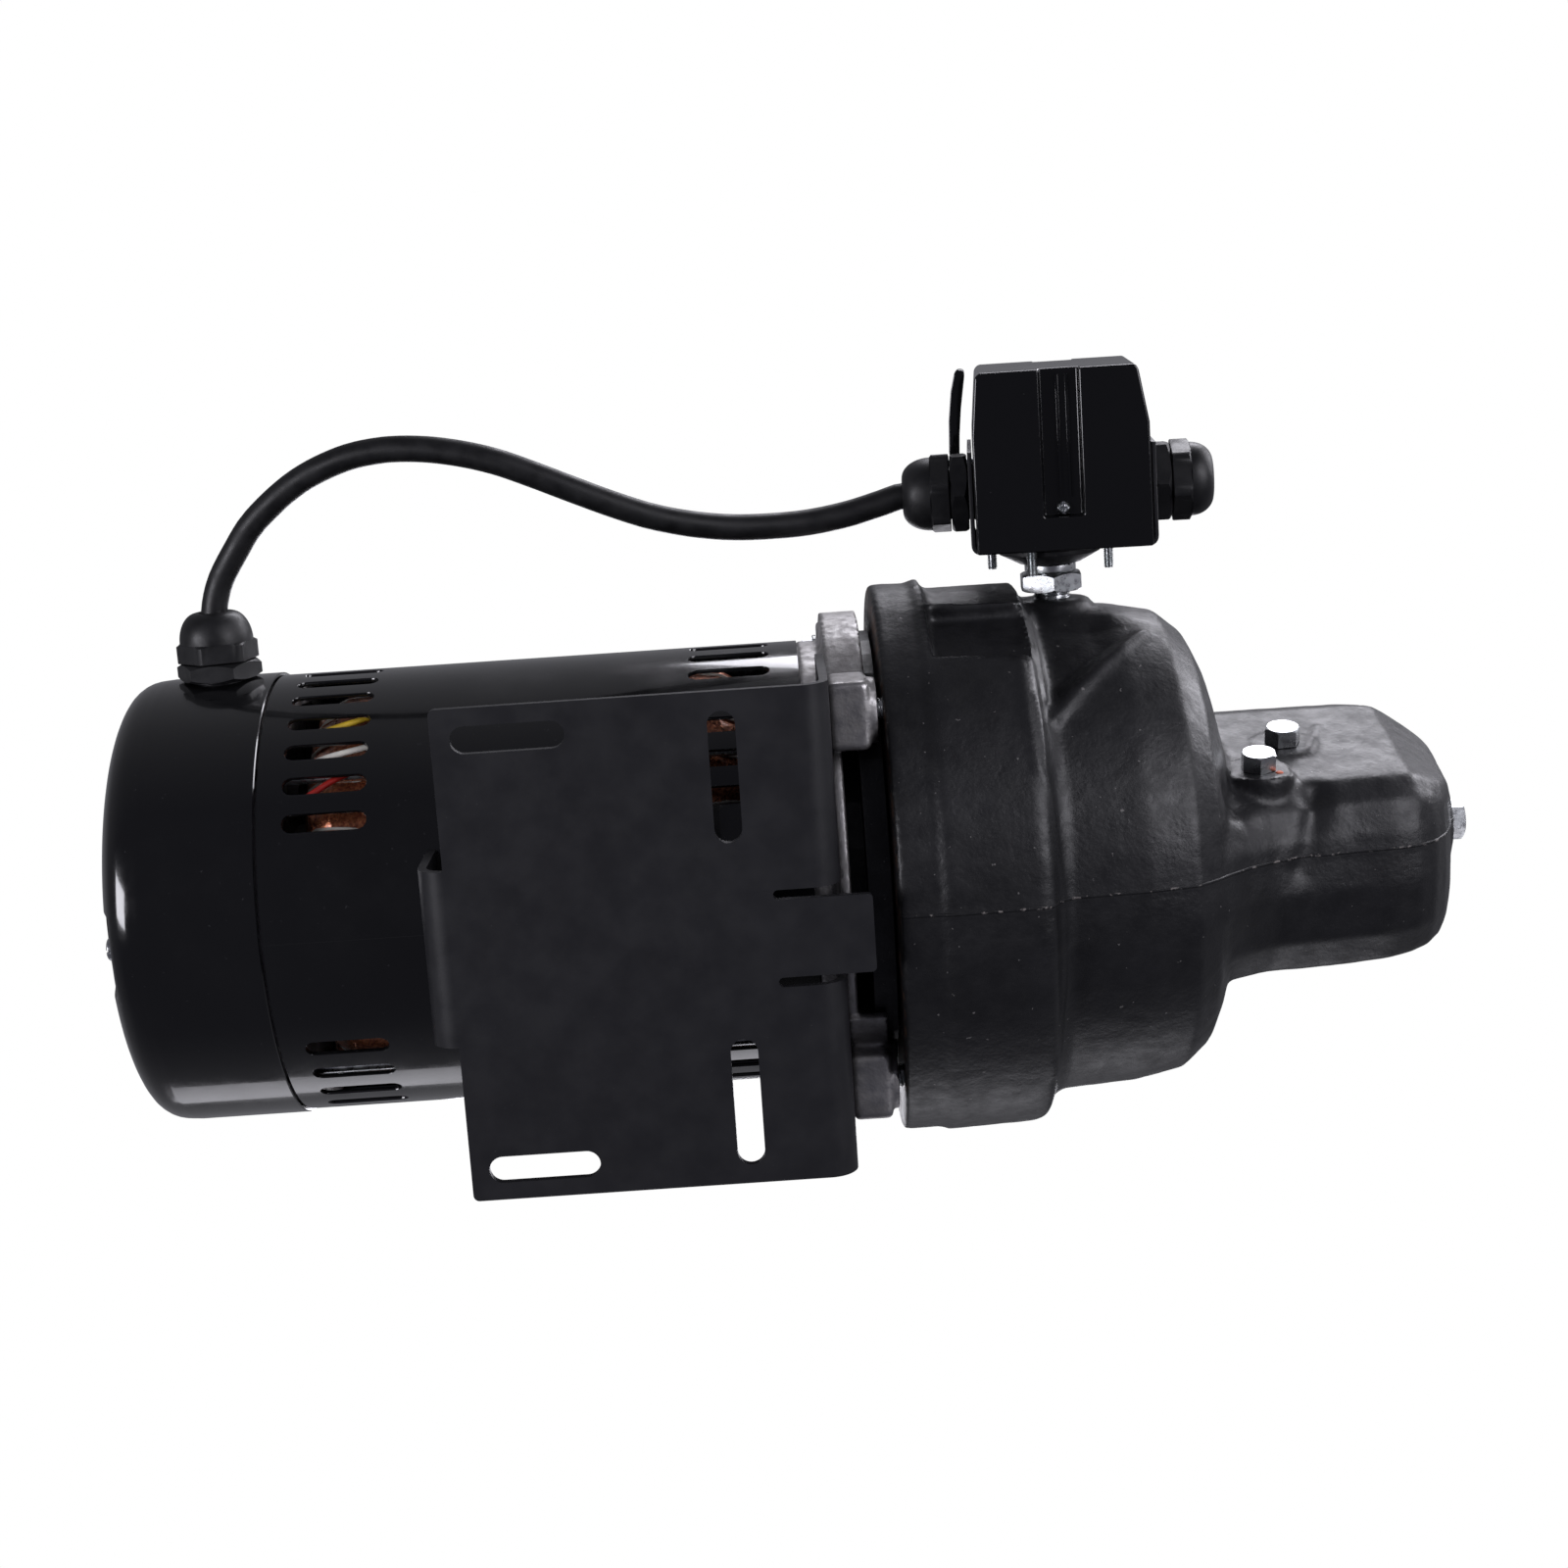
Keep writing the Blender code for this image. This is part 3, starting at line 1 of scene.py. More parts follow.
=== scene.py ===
"""The looks of a shallow well jet pump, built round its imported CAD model.

Metres, +Z up, in the CAD model's frame: the shaft runs along +X at AXIS above the base's underside, and the
pressure switch points along -Y. Pieces are drawn in place, so every object's origin is the frame's origin.
"""

import json
import math

import bmesh
import bpy
import numpy as np
from mathutils import Euler, Matrix, Vector, noise

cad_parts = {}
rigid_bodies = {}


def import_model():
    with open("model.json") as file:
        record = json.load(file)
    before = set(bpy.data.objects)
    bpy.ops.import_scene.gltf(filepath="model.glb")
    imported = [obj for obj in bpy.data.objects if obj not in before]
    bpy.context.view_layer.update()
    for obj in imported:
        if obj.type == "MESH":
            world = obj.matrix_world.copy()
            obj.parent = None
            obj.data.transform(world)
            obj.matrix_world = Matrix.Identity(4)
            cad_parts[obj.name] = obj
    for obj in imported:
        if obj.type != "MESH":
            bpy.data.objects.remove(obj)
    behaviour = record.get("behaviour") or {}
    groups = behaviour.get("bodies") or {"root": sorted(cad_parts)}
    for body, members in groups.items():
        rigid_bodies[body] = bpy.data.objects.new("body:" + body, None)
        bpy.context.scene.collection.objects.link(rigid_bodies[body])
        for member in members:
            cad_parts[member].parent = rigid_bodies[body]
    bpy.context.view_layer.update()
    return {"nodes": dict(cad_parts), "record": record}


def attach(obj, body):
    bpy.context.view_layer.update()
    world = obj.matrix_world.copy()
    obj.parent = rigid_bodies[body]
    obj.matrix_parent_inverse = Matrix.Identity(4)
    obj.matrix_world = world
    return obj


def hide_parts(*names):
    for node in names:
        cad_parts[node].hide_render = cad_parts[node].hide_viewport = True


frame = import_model()
bpy.context.view_layer.update()

RECORD = frame["record"]
SLOT = {part["node"]: part["material_slot"] for part in RECORD["subparts"]}
BODY = {node: body for body, nodes in RECORD["behaviour"]["bodies"].items() for node in nodes}

# The CAD model's dimensions
AXIS = 0.110
SHAFT_LINE = (0.0, 0.0, AXIS)
SHELL_RADIUS = 0.078
SHELL_SHEET = 0.0015
SHELL_REAR, SHELL_FRONT = -0.1237, 0.0597
CAP_RADIUS = 0.079
CAP_MOUTH = -0.1243
CAP_SCREW_AT = (0.0, 0.0006, AXIS - 0.0630)
MOTOR_GLAND_AT = (-0.1445, -0.0794, AXIS)
VENT_LENGTH, VENT_WIDTH = 0.028, 0.0062
VENT_ANGLES = range(30, 101, 10)
VENT_ROWS = (-0.1010, 0.0355)
BEARING_RADIUS = 0.020
STATOR_RADIUS = 0.0761
STATOR_REAR, STATOR_FRONT = -0.072, 0.008
THROUGH_BOLT_CIRCLE, THROUGH_BOLT_RADIUS = 0.072, 0.0021
THROUGH_BOLT_REAR, THROUGH_BOLT_FRONT = -0.1335, 0.0640
LUG_OFFSET = 0.0635
LUG_WIDTH = 0.023
BOLT_HOLE = 0.0046
LUG_REAR, LUG_FRONT = 0.0681, 0.0815
BOSS_FRONT = 0.0840
CASING_REAR = 0.0860
CASING_SHIFT = 0.0017
PARTING_Y = -0.0010
CASING_MIDDLE = (0.0, CASING_SHIFT, AXIS)
SUCTION_AT = (0.0, 0.005, AXIS + 0.034)
SUCTION_FACE, SUCTION_BORE = 0.2905, 0.0195
DISCHARGE_AT = (0.165, CASING_SHIFT, AXIS)
DISCHARGE_TOP, DISCHARGE_BORE = 0.106, 0.0152
CLEAN_OUT_AT = (0.2893, 0.0020, AXIS)
PRIMING_AT = (0.2380, 0.0020, AXIS + 0.0700)
# X, the share of the way along the facet, and the boss's height
FACET_PLUGS = {"gauge_port_plug": (0.2290, 0.50, 0.0), "prime_port_plug": (0.2150, 0.94, 0.0035)}
PLUG_SEAT = 0.0012
BASE_SHEET = 0.0028
BASE_HALF_WIDTH = 0.081
BASE_REAR = -0.0575
BASE_RELIEF = 0.0476
BASE_FOLD = 0.009
BASE_ARM_FACE, BASE_ARM_TOP = 0.0678, 0.062
BASE_TAB_END, BASE_TAB_HALF = 0.0775, 0.0128
SLOT_WIDTH = 0.00885
LONG_SLOTS = ((-0.0335, 0.0708), 0.036)
CROSS_SLOTS = ((0.0334, 0.0535), 0.0424)
SWITCH_AT = (0.1508, 0.0, AXIS)
STEM_HOLE = 0.0068
COVER_LOW, COVER_HIGH = 0.1256, 0.1852
COVER_TOP, COVER_MOUTH = -0.1694, -0.1083
COVER_HALF_DEPTH = 0.034
CHANNEL = (0.1489, 0.1621)
CHANNEL_DEPTH, CHANNEL_END = 0.0070, -0.1197
FRAME_FLOOR, FRAME_TOP, FRAME_SHEET = -0.1080, -0.1430, 0.0014
FRAME_SCREWS = ((-0.0202, 0.0066), (0.0202, -0.0066), (-0.0066, -0.0202), (0.0066, 0.0202))
SWITCH_TURN = math.radians(5)
ARM_PIN = (0.1330, -0.1135)
RANGE_STUD_AT = (0.1400, 0.0, AXIS + 0.0215)
LEVER_AT = (0.0, -0.1350, AXIS + 0.0215)
SWITCH_GLAND_Y = -0.1270
GLAND_HEX = 0.0150
CORD_RADIUS = 0.0046
DIAGONALS = ((-1, -1), (-1, 1), (1, -1), (1, 1))
LUGS = [(side * LUG_OFFSET, AXIS + rise * LUG_OFFSET) for side, rise in DIAGONALS]

CORD_ROUTE = [
    (-0.1445, -0.0935, 0.1100),
    (-0.1445, -0.0990, 0.1100),
    (-0.1438, -0.1050, 0.1100),
    (-0.1408, -0.1135, 0.1098),
    (-0.1348, -0.1230, 0.1094),
    (-0.1261, -0.1341, 0.1088),
    (-0.1107, -0.1460, 0.1073),
    (-0.0947, -0.1530, 0.1055),
    (-0.0806, -0.1556, 0.1041),
    (-0.0669, -0.1554, 0.1028),
    (-0.0534, -0.1532, 0.1020),
    (-0.0401, -0.1494, 0.1014),
    (-0.0270, -0.1438, 0.1018),
    (-0.0140, -0.1377, 0.1028),
    (-0.0009, -0.1317, 0.1042),
    (0.0123, -0.1264, 0.1060),
    (0.0257, -0.1227, 0.1082),
    (0.0392, -0.1204, 0.1104),
    (0.0529, -0.1196, 0.1124),
    (0.0667, -0.1199, 0.1140),
    (0.0806, -0.1218, 0.1150),
    (0.0930, -0.1249, 0.1149),
    (0.0992, -0.1267, 0.1145),
    (0.1072, -0.1270, 0.1138),
]

TURN = {
    "+X": (0.0, math.pi / 2, 0.0),
    "-X": (0.0, -math.pi / 2, 0.0),
    "+Y": (-math.pi / 2, 0.0, 0.0),
    "-Y": (math.pi / 2, 0.0, 0.0),
    "+Z": (0.0, 0.0, 0.0),
    "-Z": (math.pi, 0.0, 0.0),
}


# ---- Camera, floor and light ----

CAMERA_AT = (0.05075, -0.2090, -0.7674)
CAMERA_AXES = ((0.9977, 0.0656, -0.0150), (0.0673, -0.9770, 0.2022), (-0.0014, -0.2028, -0.9792))
CAMERA_LENS = 57.375
LIT_POINT = (0.05, 0.0, AXIS)
LIGHT_TINT = (0.94, 0.93, 1.0)

# Soft boxes that face LIT_POINT: where, how wide and high, and how many watts
LIGHTS = {
    "light_switch_side": ((0.45, -0.95, 1.15), (0.9, 0.5), 9.0),
    "light_nose_side": ((1.15, -0.55, 0.70), (0.6, 0.5), 7.0),
    "light_low_left": ((-1.25, -0.25, -0.95), (0.5, 0.7), 12.0),
    "light_low_right": ((1.20, -0.60, -0.85), (1.0, 0.9), 12.0),
    "light_far_side": ((0.05, 1.2, 0.45), (1.2, 0.4), 2.0),
    "light_overhead": ((0.1, 0.45, 1.5), (0.8, 0.6), 6.0),
}
# The colour that the surroundings shed from below and from above
SKY_LOW, SKY_HIGH = (0.075, 0.075, 0.092, 1.0), (0.17, 0.17, 0.185, 1.0)
FLOOR_REACH, FLOOR_DROP = 60.0, 0.0006


def camera():
    made = bpy.data.objects.new("camera", bpy.data.cameras.new("camera"))
    made.data.sensor_width = 36.0
    made.data.lens = CAMERA_LENS
    made.data.clip_start = 0.01
    turn = Matrix(CAMERA_AXES).transposed()
    made.matrix_world = Matrix.Translation(CAMERA_AT) @ turn.to_quaternion().to_matrix().to_4x4()
    bpy.context.scene.collection.objects.link(made)
    bpy.context.scene.camera = made


def softbox(name, place, size, power):
    light = bpy.data.lights.new(name, "AREA")
    light.shape = "RECTANGLE"
    light.size, light.size_y = size
    light.energy = power
    light.color = LIGHT_TINT
    made = bpy.data.objects.new(name, light)
    place = Vector(place)
    facing = (place - Vector(LIT_POINT)).to_track_quat("Z", "Y").to_matrix().to_4x4()
    made.matrix_world = Matrix.Translation(place) @ facing
    made.visible_camera = False
    bpy.context.scene.collection.objects.link(made)


def studio():
    """The soft boxes, and a dim world that is brighter above and shows white behind the object."""
    for name, (place, size, power) in LIGHTS.items():
        softbox(name, place, size, power)
    world = bpy.data.worlds.new("studio")
    world.use_nodes = True
    nodes, links = world.node_tree.nodes, world.node_tree.links
    nodes.clear()
    path = nodes.new("ShaderNodeLightPath")
    seen = nodes.new("ShaderNodeBackground")
    seen.inputs["Color"].default_value = (1.0, 1.0, 1.0, 1.0)
    lit = nodes.new("ShaderNodeBackground")
    where = nodes.new("ShaderNodeTexCoord")
    split = nodes.new("ShaderNodeSeparateXYZ")
    ramp = nodes.new("ShaderNodeValToRGB")
    rise = nodes.new("ShaderNodeMapRange")
    rise.inputs["From Min"].default_value = -1.0
    for stop, colour, place in zip(ramp.color_ramp.elements, (SKY_LOW, SKY_HIGH), (0.25, 0.75)):
        stop.color = colour
        stop.position = place
    links.new(where.outputs["Generated"], split.inputs[0])
    links.new(split.outputs["Z"], rise.inputs["Value"])
    links.new(rise.outputs[0], ramp.inputs["Fac"])
    links.new(ramp.outputs["Color"], lit.inputs["Color"])
    mix = nodes.new("ShaderNodeMixShader")
    out = nodes.new("ShaderNodeOutputWorld")
    links.new(path.outputs["Is Camera Ray"], mix.inputs[0])
    links.new(lit.outputs[0], mix.inputs[1])
    links.new(seen.outputs[0], mix.inputs[2])
    links.new(mix.outputs[0], out.inputs["Surface"])
    bpy.context.scene.world = world
    bpy.context.scene.view_settings.view_transform = "Standard"


def floor():
    """A pale floor just under the base. It is clear from below, where the main view looks up at the base."""
    mesh = bpy.data.meshes.new("floor")
    signs = ((-1, -1), (1, -1), (1, 1), (-1, 1))
    corners = [(x * FLOOR_REACH, y * FLOOR_REACH, -FLOOR_DROP) for x, y in signs]
    mesh.from_pydata(corners, [], [(0, 1, 2, 3)])
    made = bpy.data.objects.new("floor", mesh)
    material = bpy.data.materials.new("pale_floor")
    material.use_nodes = True
    nodes, links = material.node_tree.nodes, material.node_tree.links
    matt = nodes["Principled BSDF"]
    matt.inputs["Base Color"].default_value = (0.52, 0.52, 0.53, 1.0)
    matt.inputs["Roughness"].default_value = 0.75
    matt.inputs["Emission Color"].default_value = (0.98, 0.98, 1.0, 1.0)
    matt.inputs["Emission Strength"].default_value = 0.38
    clear = nodes.new("ShaderNodeBsdfTransparent")
    side = nodes.new("ShaderNodeNewGeometry")
    mix = nodes.new("ShaderNodeMixShader")
    links.new(side.outputs["Backfacing"], mix.inputs[0])
    links.new(matt.outputs[0], mix.inputs[1])
    links.new(clear.outputs[0], mix.inputs[2])
    links.new(mix.outputs[0], nodes["Material Output"].inputs["Surface"])
    mesh.materials.append(material)
    made.visible_shadow = False
    made.visible_diffuse = False
    made.visible_glossy = False
    made.visible_transmission = False
    bpy.context.scene.collection.objects.link(made)


camera()
studio()
floor()


# ---- Materials ----


class Coat:
    """A material under construction. Sizes are in metres on the object."""

    def __init__(self, name, colour, roughness, metallic=0.0, **plain):
        self.material = bpy.data.materials.new(name)
        self.material.use_nodes = True
        self.nodes, self.links = self.material.node_tree.nodes, self.material.node_tree.links
        self.shader = self.nodes["Principled BSDF"]
        self.where = self.nodes.new("ShaderNodeTexCoord").outputs["Object"]
        self.normal = None
        self.feed("Base Color", (*colour, 1.0))
        self.feed("Roughness", roughness)
        self.feed("Metallic", metallic)
        for socket, value in plain.items():
            self.feed(socket.replace("_", " ").title(), value)

    def feed(self, socket, value):
        self.put(self.shader, socket, value)

    def put(self, node, socket, value):
        if isinstance(value, bpy.types.NodeSocket):
            self.links.new(value, node.inputs[socket])
        else:
            node.inputs[socket].default_value = value

    def node(self, kind, inputs, **settings):
        made = self.nodes.new(kind)
        for name, value in settings.items():
            setattr(made, name, value)
        for socket, value in inputs.items():
            self.put(made, socket, value)
        return made

    def stretched(self, stretch):
        if stretch is None:
            return self.where
        return self.node("ShaderNodeMapping", {"Vector": self.where, "Scale": stretch}).outputs[0]

    def noise(self, size, detail=3.0, rough=0.5, stretch=None):
        inputs = {"Vector": self.stretched(stretch), "Scale": 1 / size, "Detail": detail, "Roughness": rough}
        return self.node("ShaderNodeTexNoise", inputs).outputs["Fac"]

    def cells(self, size):
        inputs = {"Vector": self.where, "Scale": 1 / size}
        return self.node("ShaderNodeTexVoronoi", inputs).outputs["Distance"]

    def along(self, axis):
        split = self.node("ShaderNodeSeparateXYZ", {0: self.where})
        return split.outputs[axis]

    def math(self, operation, first, second=0.0):
        return self.node("ShaderNodeMath", {0: first, 1: second}, operation=operation).outputs[0]

    def spread(self, value, low, high, start=0.35, end=0.65):
        inputs = {"Value": value, "From Min": start, "From Max": end, "To Min": low, "To Max": high}
        return self.node("ShaderNodeMapRange", inputs).outputs["Result"]

    def blend(self, share, first, second):
        made = self.node("ShaderNodeMix", {0: share}, data_type="RGBA")
        for socket, value in ((6, first), (7, second)):
            self.put(made, socket, value if isinstance(value, bpy.types.NodeSocket) else (*value, 1.0))
        return made.outputs[2]

    def bump(self, height, depth):
        inputs = {"Height": height, "Distance": depth, "Strength": 1.0}
        if self.normal is not None:
            inputs["Normal"] = self.normal
        self.normal = self.node("ShaderNodeBump", inputs).outputs["Normal"]
        self.feed("Normal", self.normal)


def finish(name, colour, roughness, tones, polish, bumps, metallic=0.0, **plain):
    """A coat whose colour, polish and relief come from noise.

    tones has layers of (noise, start, end, first colour, second colour), and a layer without a first colour
    lies on the one before. polish is (noise, lowest, highest). bumps has (noise, depth) pairs.
    """
    coat = Coat(name, colour, roughness, metallic, **plain)
    tone = None
    for grain, start, end, first, second in tones:
        tone = coat.blend(coat.spread(coat.noise(*grain), 0.0, 1.0, start, end), first or tone, second)
    coat.feed("Base Color", tone)
    grain, low, high = polish
    coat.feed("Roughness", coat.spread(coat.noise(*grain), low, high))
    for grain, depth in bumps:
        coat.bump(coat.noise(*grain), depth)
    return coat.material


def moulded(name, colour, roughness, grain=0.0008, depth=0.00002):
    """A moulded rubber or plastic: a fine grain, soft blotches of shade and a varying polish."""
    pale = tuple(channel * 1.35 + 0.002 for channel in colour)
    dark = tuple(channel * 0.78 for channel in colour)
    return finish(name, colour, roughness, [((0.014, 4.0, 0.6), 0.35, 0.65, dark, pale)],
                  ((0.007, 3.0), roughness - 0.07, roughness + 0.09), [((grain, 2.0), depth)])


def cast_paint():
    """Black brushed over sand-cast iron, chipped along the parting line and rusty at the rear edge."""
    coat = Coat("painted_cast_iron", (0.010, 0.010, 0.011), 0.44, coat_weight=0.10, coat_roughness=0.30)
    cloud = coat.noise(0.022, 5.0, 0.65)
    tone = coat.blend(coat.spread(cloud, 0.0, 1.0), (0.0075, 0.0076, 0.0086), (0.0130, 0.0131, 0.0148))
    parting = coat.math("ABSOLUTE", coat.math("ADD", coat.along("Y"), -PARTING_Y))
    line = coat.spread(parting, 1.0, 0.0, 0.0002, 0.0006)
    casting = coat.math("GREATER_THAN", coat.along("X"), CASING_REAR - 0.0002)
    line = coat.math("MULTIPLY", line, casting)
    broken = coat.spread(coat.noise(0.0035, 3.0, 0.7), 0.0, 1.0, 0.56, 0.62)
    chip = coat.math("MULTIPLY", line, broken)
    edge = coat.spread(coat.along("X"), 0.8, 0.0, CASING_REAR + 0.0002, CASING_REAR + 0.0009)
    rear = coat.math("MULTIPLY", edge, casting)
    rust = coat.math("MULTIPLY", rear, coat.spread(coat.noise(0.0060, 4.0, 0.7), 0.0, 1.0, 0.46, 0.60))
    nick = coat.math("MULTIPLY", coat.spread(coat.noise(0.0022, 2.0), 0.0, 1.0, 0.735, 0.76), 0.7)
    tone = coat.blend(chip, tone, (0.23, 0.21, 0.20))
    tone = coat.blend(rust, tone, (0.10, 0.050, 0.028))
    coat.feed("Base Color", coat.blend(nick, tone, (0.20, 0.19, 0.185)))
    coat.feed("Roughness", coat.spread(coat.noise(0.0080, 4.0, 0.7), 0.38, 0.54))
    coat.bump(coat.noise(0.0040, 3.0, 0.55), 0.00014)
    coat.bump(coat.noise(0.0015, 2.0, 0.5), 0.00012)
    coat.bump(coat.spread(coat.cells(0.0036), 0.0, 1.0, 0.05, 0.35), 0.00004)
    coat.bump(line, 0.00030)
    return coat.material


def plain_steel():
    coat = Coat("mill_steel", (0.42, 0.42, 0.43), 0.38, 1.0)
    plates = coat.noise(0.0010, 1.0, 0.5, (1.0, 0.02, 0.02))
    coat.feed("Base Color", coat.blend(coat.spread(plates, 0.0, 1.0), (0.30, 0.30, 0.31), (0.50, 0.50, 0.50)))
    coat.feed("Roughness", coat.spread(coat.noise(0.006, 3.0), 0.28, 0.48))
    coat.bump(plates, 0.00010)
    return coat.material


def enamelled_copper():
    coat = Coat("enamelled_copper", (0.40, 0.13, 0.06), 0.28, 0.75, coat_weight=0.5, coat_roughness=0.12)
    strand = coat.noise(0.0011, 2.0, 0.5)
    shade = coat.spread(strand, 0.0, 1.0)
    coat.feed("Base Color", coat.blend(shade, (0.22, 0.055, 0.028), (0.52, 0.19, 0.085)))
    coat.feed("Roughness", coat.spread(coat.noise(0.004), 0.2, 0.42))
    coat.bump(strand, 0.00018)
    return coat.material


COATS = {
    "shell_enamel": finish(
        "gloss_enamel", (0.0040, 0.0041, 0.0046), 0.16,
        [((0.0016, 2.0), 0.72, 0.80, (0.0040, 0.0041, 0.0046), (0.030, 0.030, 0.032))],
        ((0.035, 5.0, 0.62), 0.10, 0.26), [((0.0026, 1.0), 0.000018), ((0.0140, 2.0), 0.000060)],
        coat_weight=0.7, coat_roughness=0.05),
    "base_coat": finish(
        "satin_powder_coat", (0.0165, 0.0165, 0.0185), 0.42,
        [((0.030, 4.0, 0.6), 0.35, 0.65, (0.0150, 0.0150, 0.0172), (0.0190, 0.0190, 0.0215)),
         ((0.0011, 2.0), 0.73, 0.80, None, (0.040, 0.040, 0.042))],
        ((0.012, 3.0), 0.36, 0.50), [((0.0007, 2.0), 0.000016), ((0.0050, 1.0), 0.000020)]),
    "painted_iron": cast_paint(),
    "bare_aluminium": finish(
        "cast_aluminium", (0.52, 0.52, 0.51), 0.5,
        [((0.016, 5.0, 0.65), 0.40, 0.66, (0.50, 0.49, 0.49), (0.34, 0.33, 0.325))],
        ((0.0040, 3.0), 0.40, 0.62), [((0.0022, 3.0), 0.00012), ((0.0009, 2.0), 0.00006)], 1.0),
    "plain_steel": plain_steel(),
    "zinc_plate": finish(
        "zinc_plate", (0.66, 0.67, 0.68), 0.28,
        [((0.0060, 4.0, 0.6), 0.38, 0.68, (0.70, 0.71, 0.72), (0.50, 0.53, 0.535))],
        ((0.0030, 3.0), 0.20, 0.38), [((0.0012, 2.0), 0.000022)], 1.0),
    "copper": enamelled_copper(),
    "brass": finish(
        "turned_brass", (0.60, 0.44, 0.20), 0.3,
        [((0.005, 4.0), 0.35, 0.65, (0.64, 0.48, 0.22), (0.42, 0.30, 0.14))],
        ((0.002,), 0.24, 0.42), [((0.0010, 1.0), 0.00002)], 1.0),
    "black_rubber": moulded("black_rubber", (0.012, 0.012, 0.012), 0.62),
    "cord_rubber": moulded("cord_rubber", (0.0065, 0.0066, 0.0074), 0.46, 0.0012, 0.000025),
    "nylon": moulded("black_nylon", (0.0080, 0.0082, 0.0092), 0.46, 0.0006, 0.000022),
    "cover_plastic": finish(
        "cover_gloss_plastic", (0.0040, 0.0040, 0.0045), 0.10,
        [((0.0013, 2.0), 0.76, 0.82, (0.0036, 0.0037, 0.0042), (0.040, 0.040, 0.042))],
        ((0.020, 4.0, 0.6), 0.07, 0.16), [((0.0180, 1.0), 0.000060)],
        coat_weight=0.3, coat_roughness=0.04),
    "dark_plastic": moulded("phenolic", (0.035, 0.020, 0.014), 0.42),
    "fan_plastic": moulded("white_nylon", (0.62, 0.62, 0.59), 0.45),
    "ceramic": moulded("ceramic", (0.70, 0.68, 0.62), 0.32, 0.0005, 0.000008),
}
LACING = moulded("lacing_cord", (0.66, 0.64, 0.58), 0.70, 0.0005, 0.00008)
YELLOW_WIRE = moulded("yellow_wire", (0.62, 0.42, 0.03), 0.40)
RED_WIRE = moulded("red_wire", (0.42, 0.02, 0.015), 0.40)
SEALANT = moulded("orange_sealant", (0.55, 0.10, 0.03), 0.50)


# ---- Mesh helpers ----


def posed(centre, facing):
    turn = TURN[facing] if isinstance(facing, str) else facing
    return Matrix.Translation(centre) @ Euler(turn).to_matrix().to_4x4()


def piece(name, grid, at=None, sharp=35.0):
    """An object from a bmesh, with its faces turned outwards and its place baked into its mesh."""
    if at is not None:
        bmesh.ops.transform(grid, matrix=at, verts=grid.verts)
    bmesh.ops.recalc_face_normals(grid, faces=grid.faces)
    mesh = bpy.data.meshes.new(name)
    grid.to_mesh(mesh)
    grid.free()
    made = bpy.data.objects.new(name, mesh)
    bpy.context.scene.collection.objects.link(made)
    smooth(made, sharp)
    return made


def smooth(made, sharp=35.0):
    made.data.shade_smooth()
    if sharp is not None:
        made.data.set_sharp_from_angle(angle=math.radians(sharp))


def shown(made, node=None, slot=None, coat=None):
    """Gives a piece its finish and its body. With a node, the piece stands for that CAD node."""
    slot = slot or SLOT[node]
    made.data.materials.clear()
    made.data.materials.append(coat or COATS[slot])
    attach(made, BODY[node] if node else "pump")
    if node:
        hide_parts(node)
    return made


def walls(grid, low, high):
    """Faces between two loops of vertices. A loop of a single vertex makes a fan."""
    steps = max(len(low), len(high))
    for step in range(steps):
        after = (step + 1) % steps
        near = [low[step % len(low)], low[after % len(low)]]
        far = [high[after % len(high)], high[step % len(high)]]
        corners = list(dict.fromkeys(near + far))
        if len(corners) > 2:
            grid.faces.new(corners)


def soften(points, radius, closed=False, steps=3, least=12.0):
    """An outline with each corner of at least so many degrees rounded off to about a radius."""
    count = len(points)
    flat = [Vector(point) for point in points]
    out = []
    for index, corner in enumerate(flat):
        if not closed and index in (0, count - 1):
            out.append(corner)
            continue
        before, after = flat[index - 1], flat[(index + 1) % count]
        into, away = corner - before, after - corner
        if into.length < 1e-7 or away.length < 1e-7:
            out.append(corner)
            continue
        turn = into.angle(away)
        if turn < math.radians(least):
            out.append(corner)
            continue
        reach = min(radius * math.tan(turn / 2), 0.46 * into.length, 0.46 * away.length)
        start, end = corner - into.normalized() * reach, corner + away.normalized() * reach
        for step in range(steps + 1):
            share = step / steps
            low, high = start.lerp(corner, share), corner.lerp(end, share)
            out.append(low.lerp(high, share))
    return [tuple(point) for point in out]


def rings(name, profile, steps, centre, facing, sharp=35.0):
    """A solid from rings round an axis. profile lists functions of the angle that give (along, radius)."""
    grid = bmesh.new()
    loops = []
    turns = [math.tau * step / steps for step in range(steps)]
    for ring in profile:
        spots = [ring(turn) for turn in turns]
        if max(radius for along, radius in spots) < 1e-7:
            loops.append([grid.verts.new((0, 0, spots[0][0]))])
            continue
        loops.append([grid.verts.new((radius * math.cos(turn), radius * math.sin(turn), along))
                      for turn, (along, radius) in zip(turns, spots)])
    pairs = list(zip(loops, loops[1:]))
    if len(loops[0]) > 1 or len(loops[-1]) > 1:
        pairs.append((loops[-1], loops[0]))
    for low, high in pairs:
        walls(grid, low, high)
    return piece(name, grid, posed(centre, facing), sharp)


def level(along, radius):
    """A round ring, for rings()."""
    return lambda angle: (along, radius)


def lathe(name, outline, centre=SHAFT_LINE, facing="+X", steps=64, round_off=0.0004, sharp=35.0):
    """A turned solid from (along, radius) points. One that starts and ends on the axis closes there."""
    on_axis = outline[0][1] == 0 and outline[-1][1] == 0
    fine = soften(outline, round_off, closed=not on_axis) if round_off else outline
    return rings(name, [level(*spot) for spot in fine], steps, centre, facing, sharp)


def rod(name, low, high, radius, **where):
    return lathe(name, [(low, 0), (low, radius), (high, radius), (high, 0)], **where)


def hex_radius(angle, corner):
    half = math.pi / 6
    return corner * math.cos(half) / math.cos(angle % (2 * half) - half)


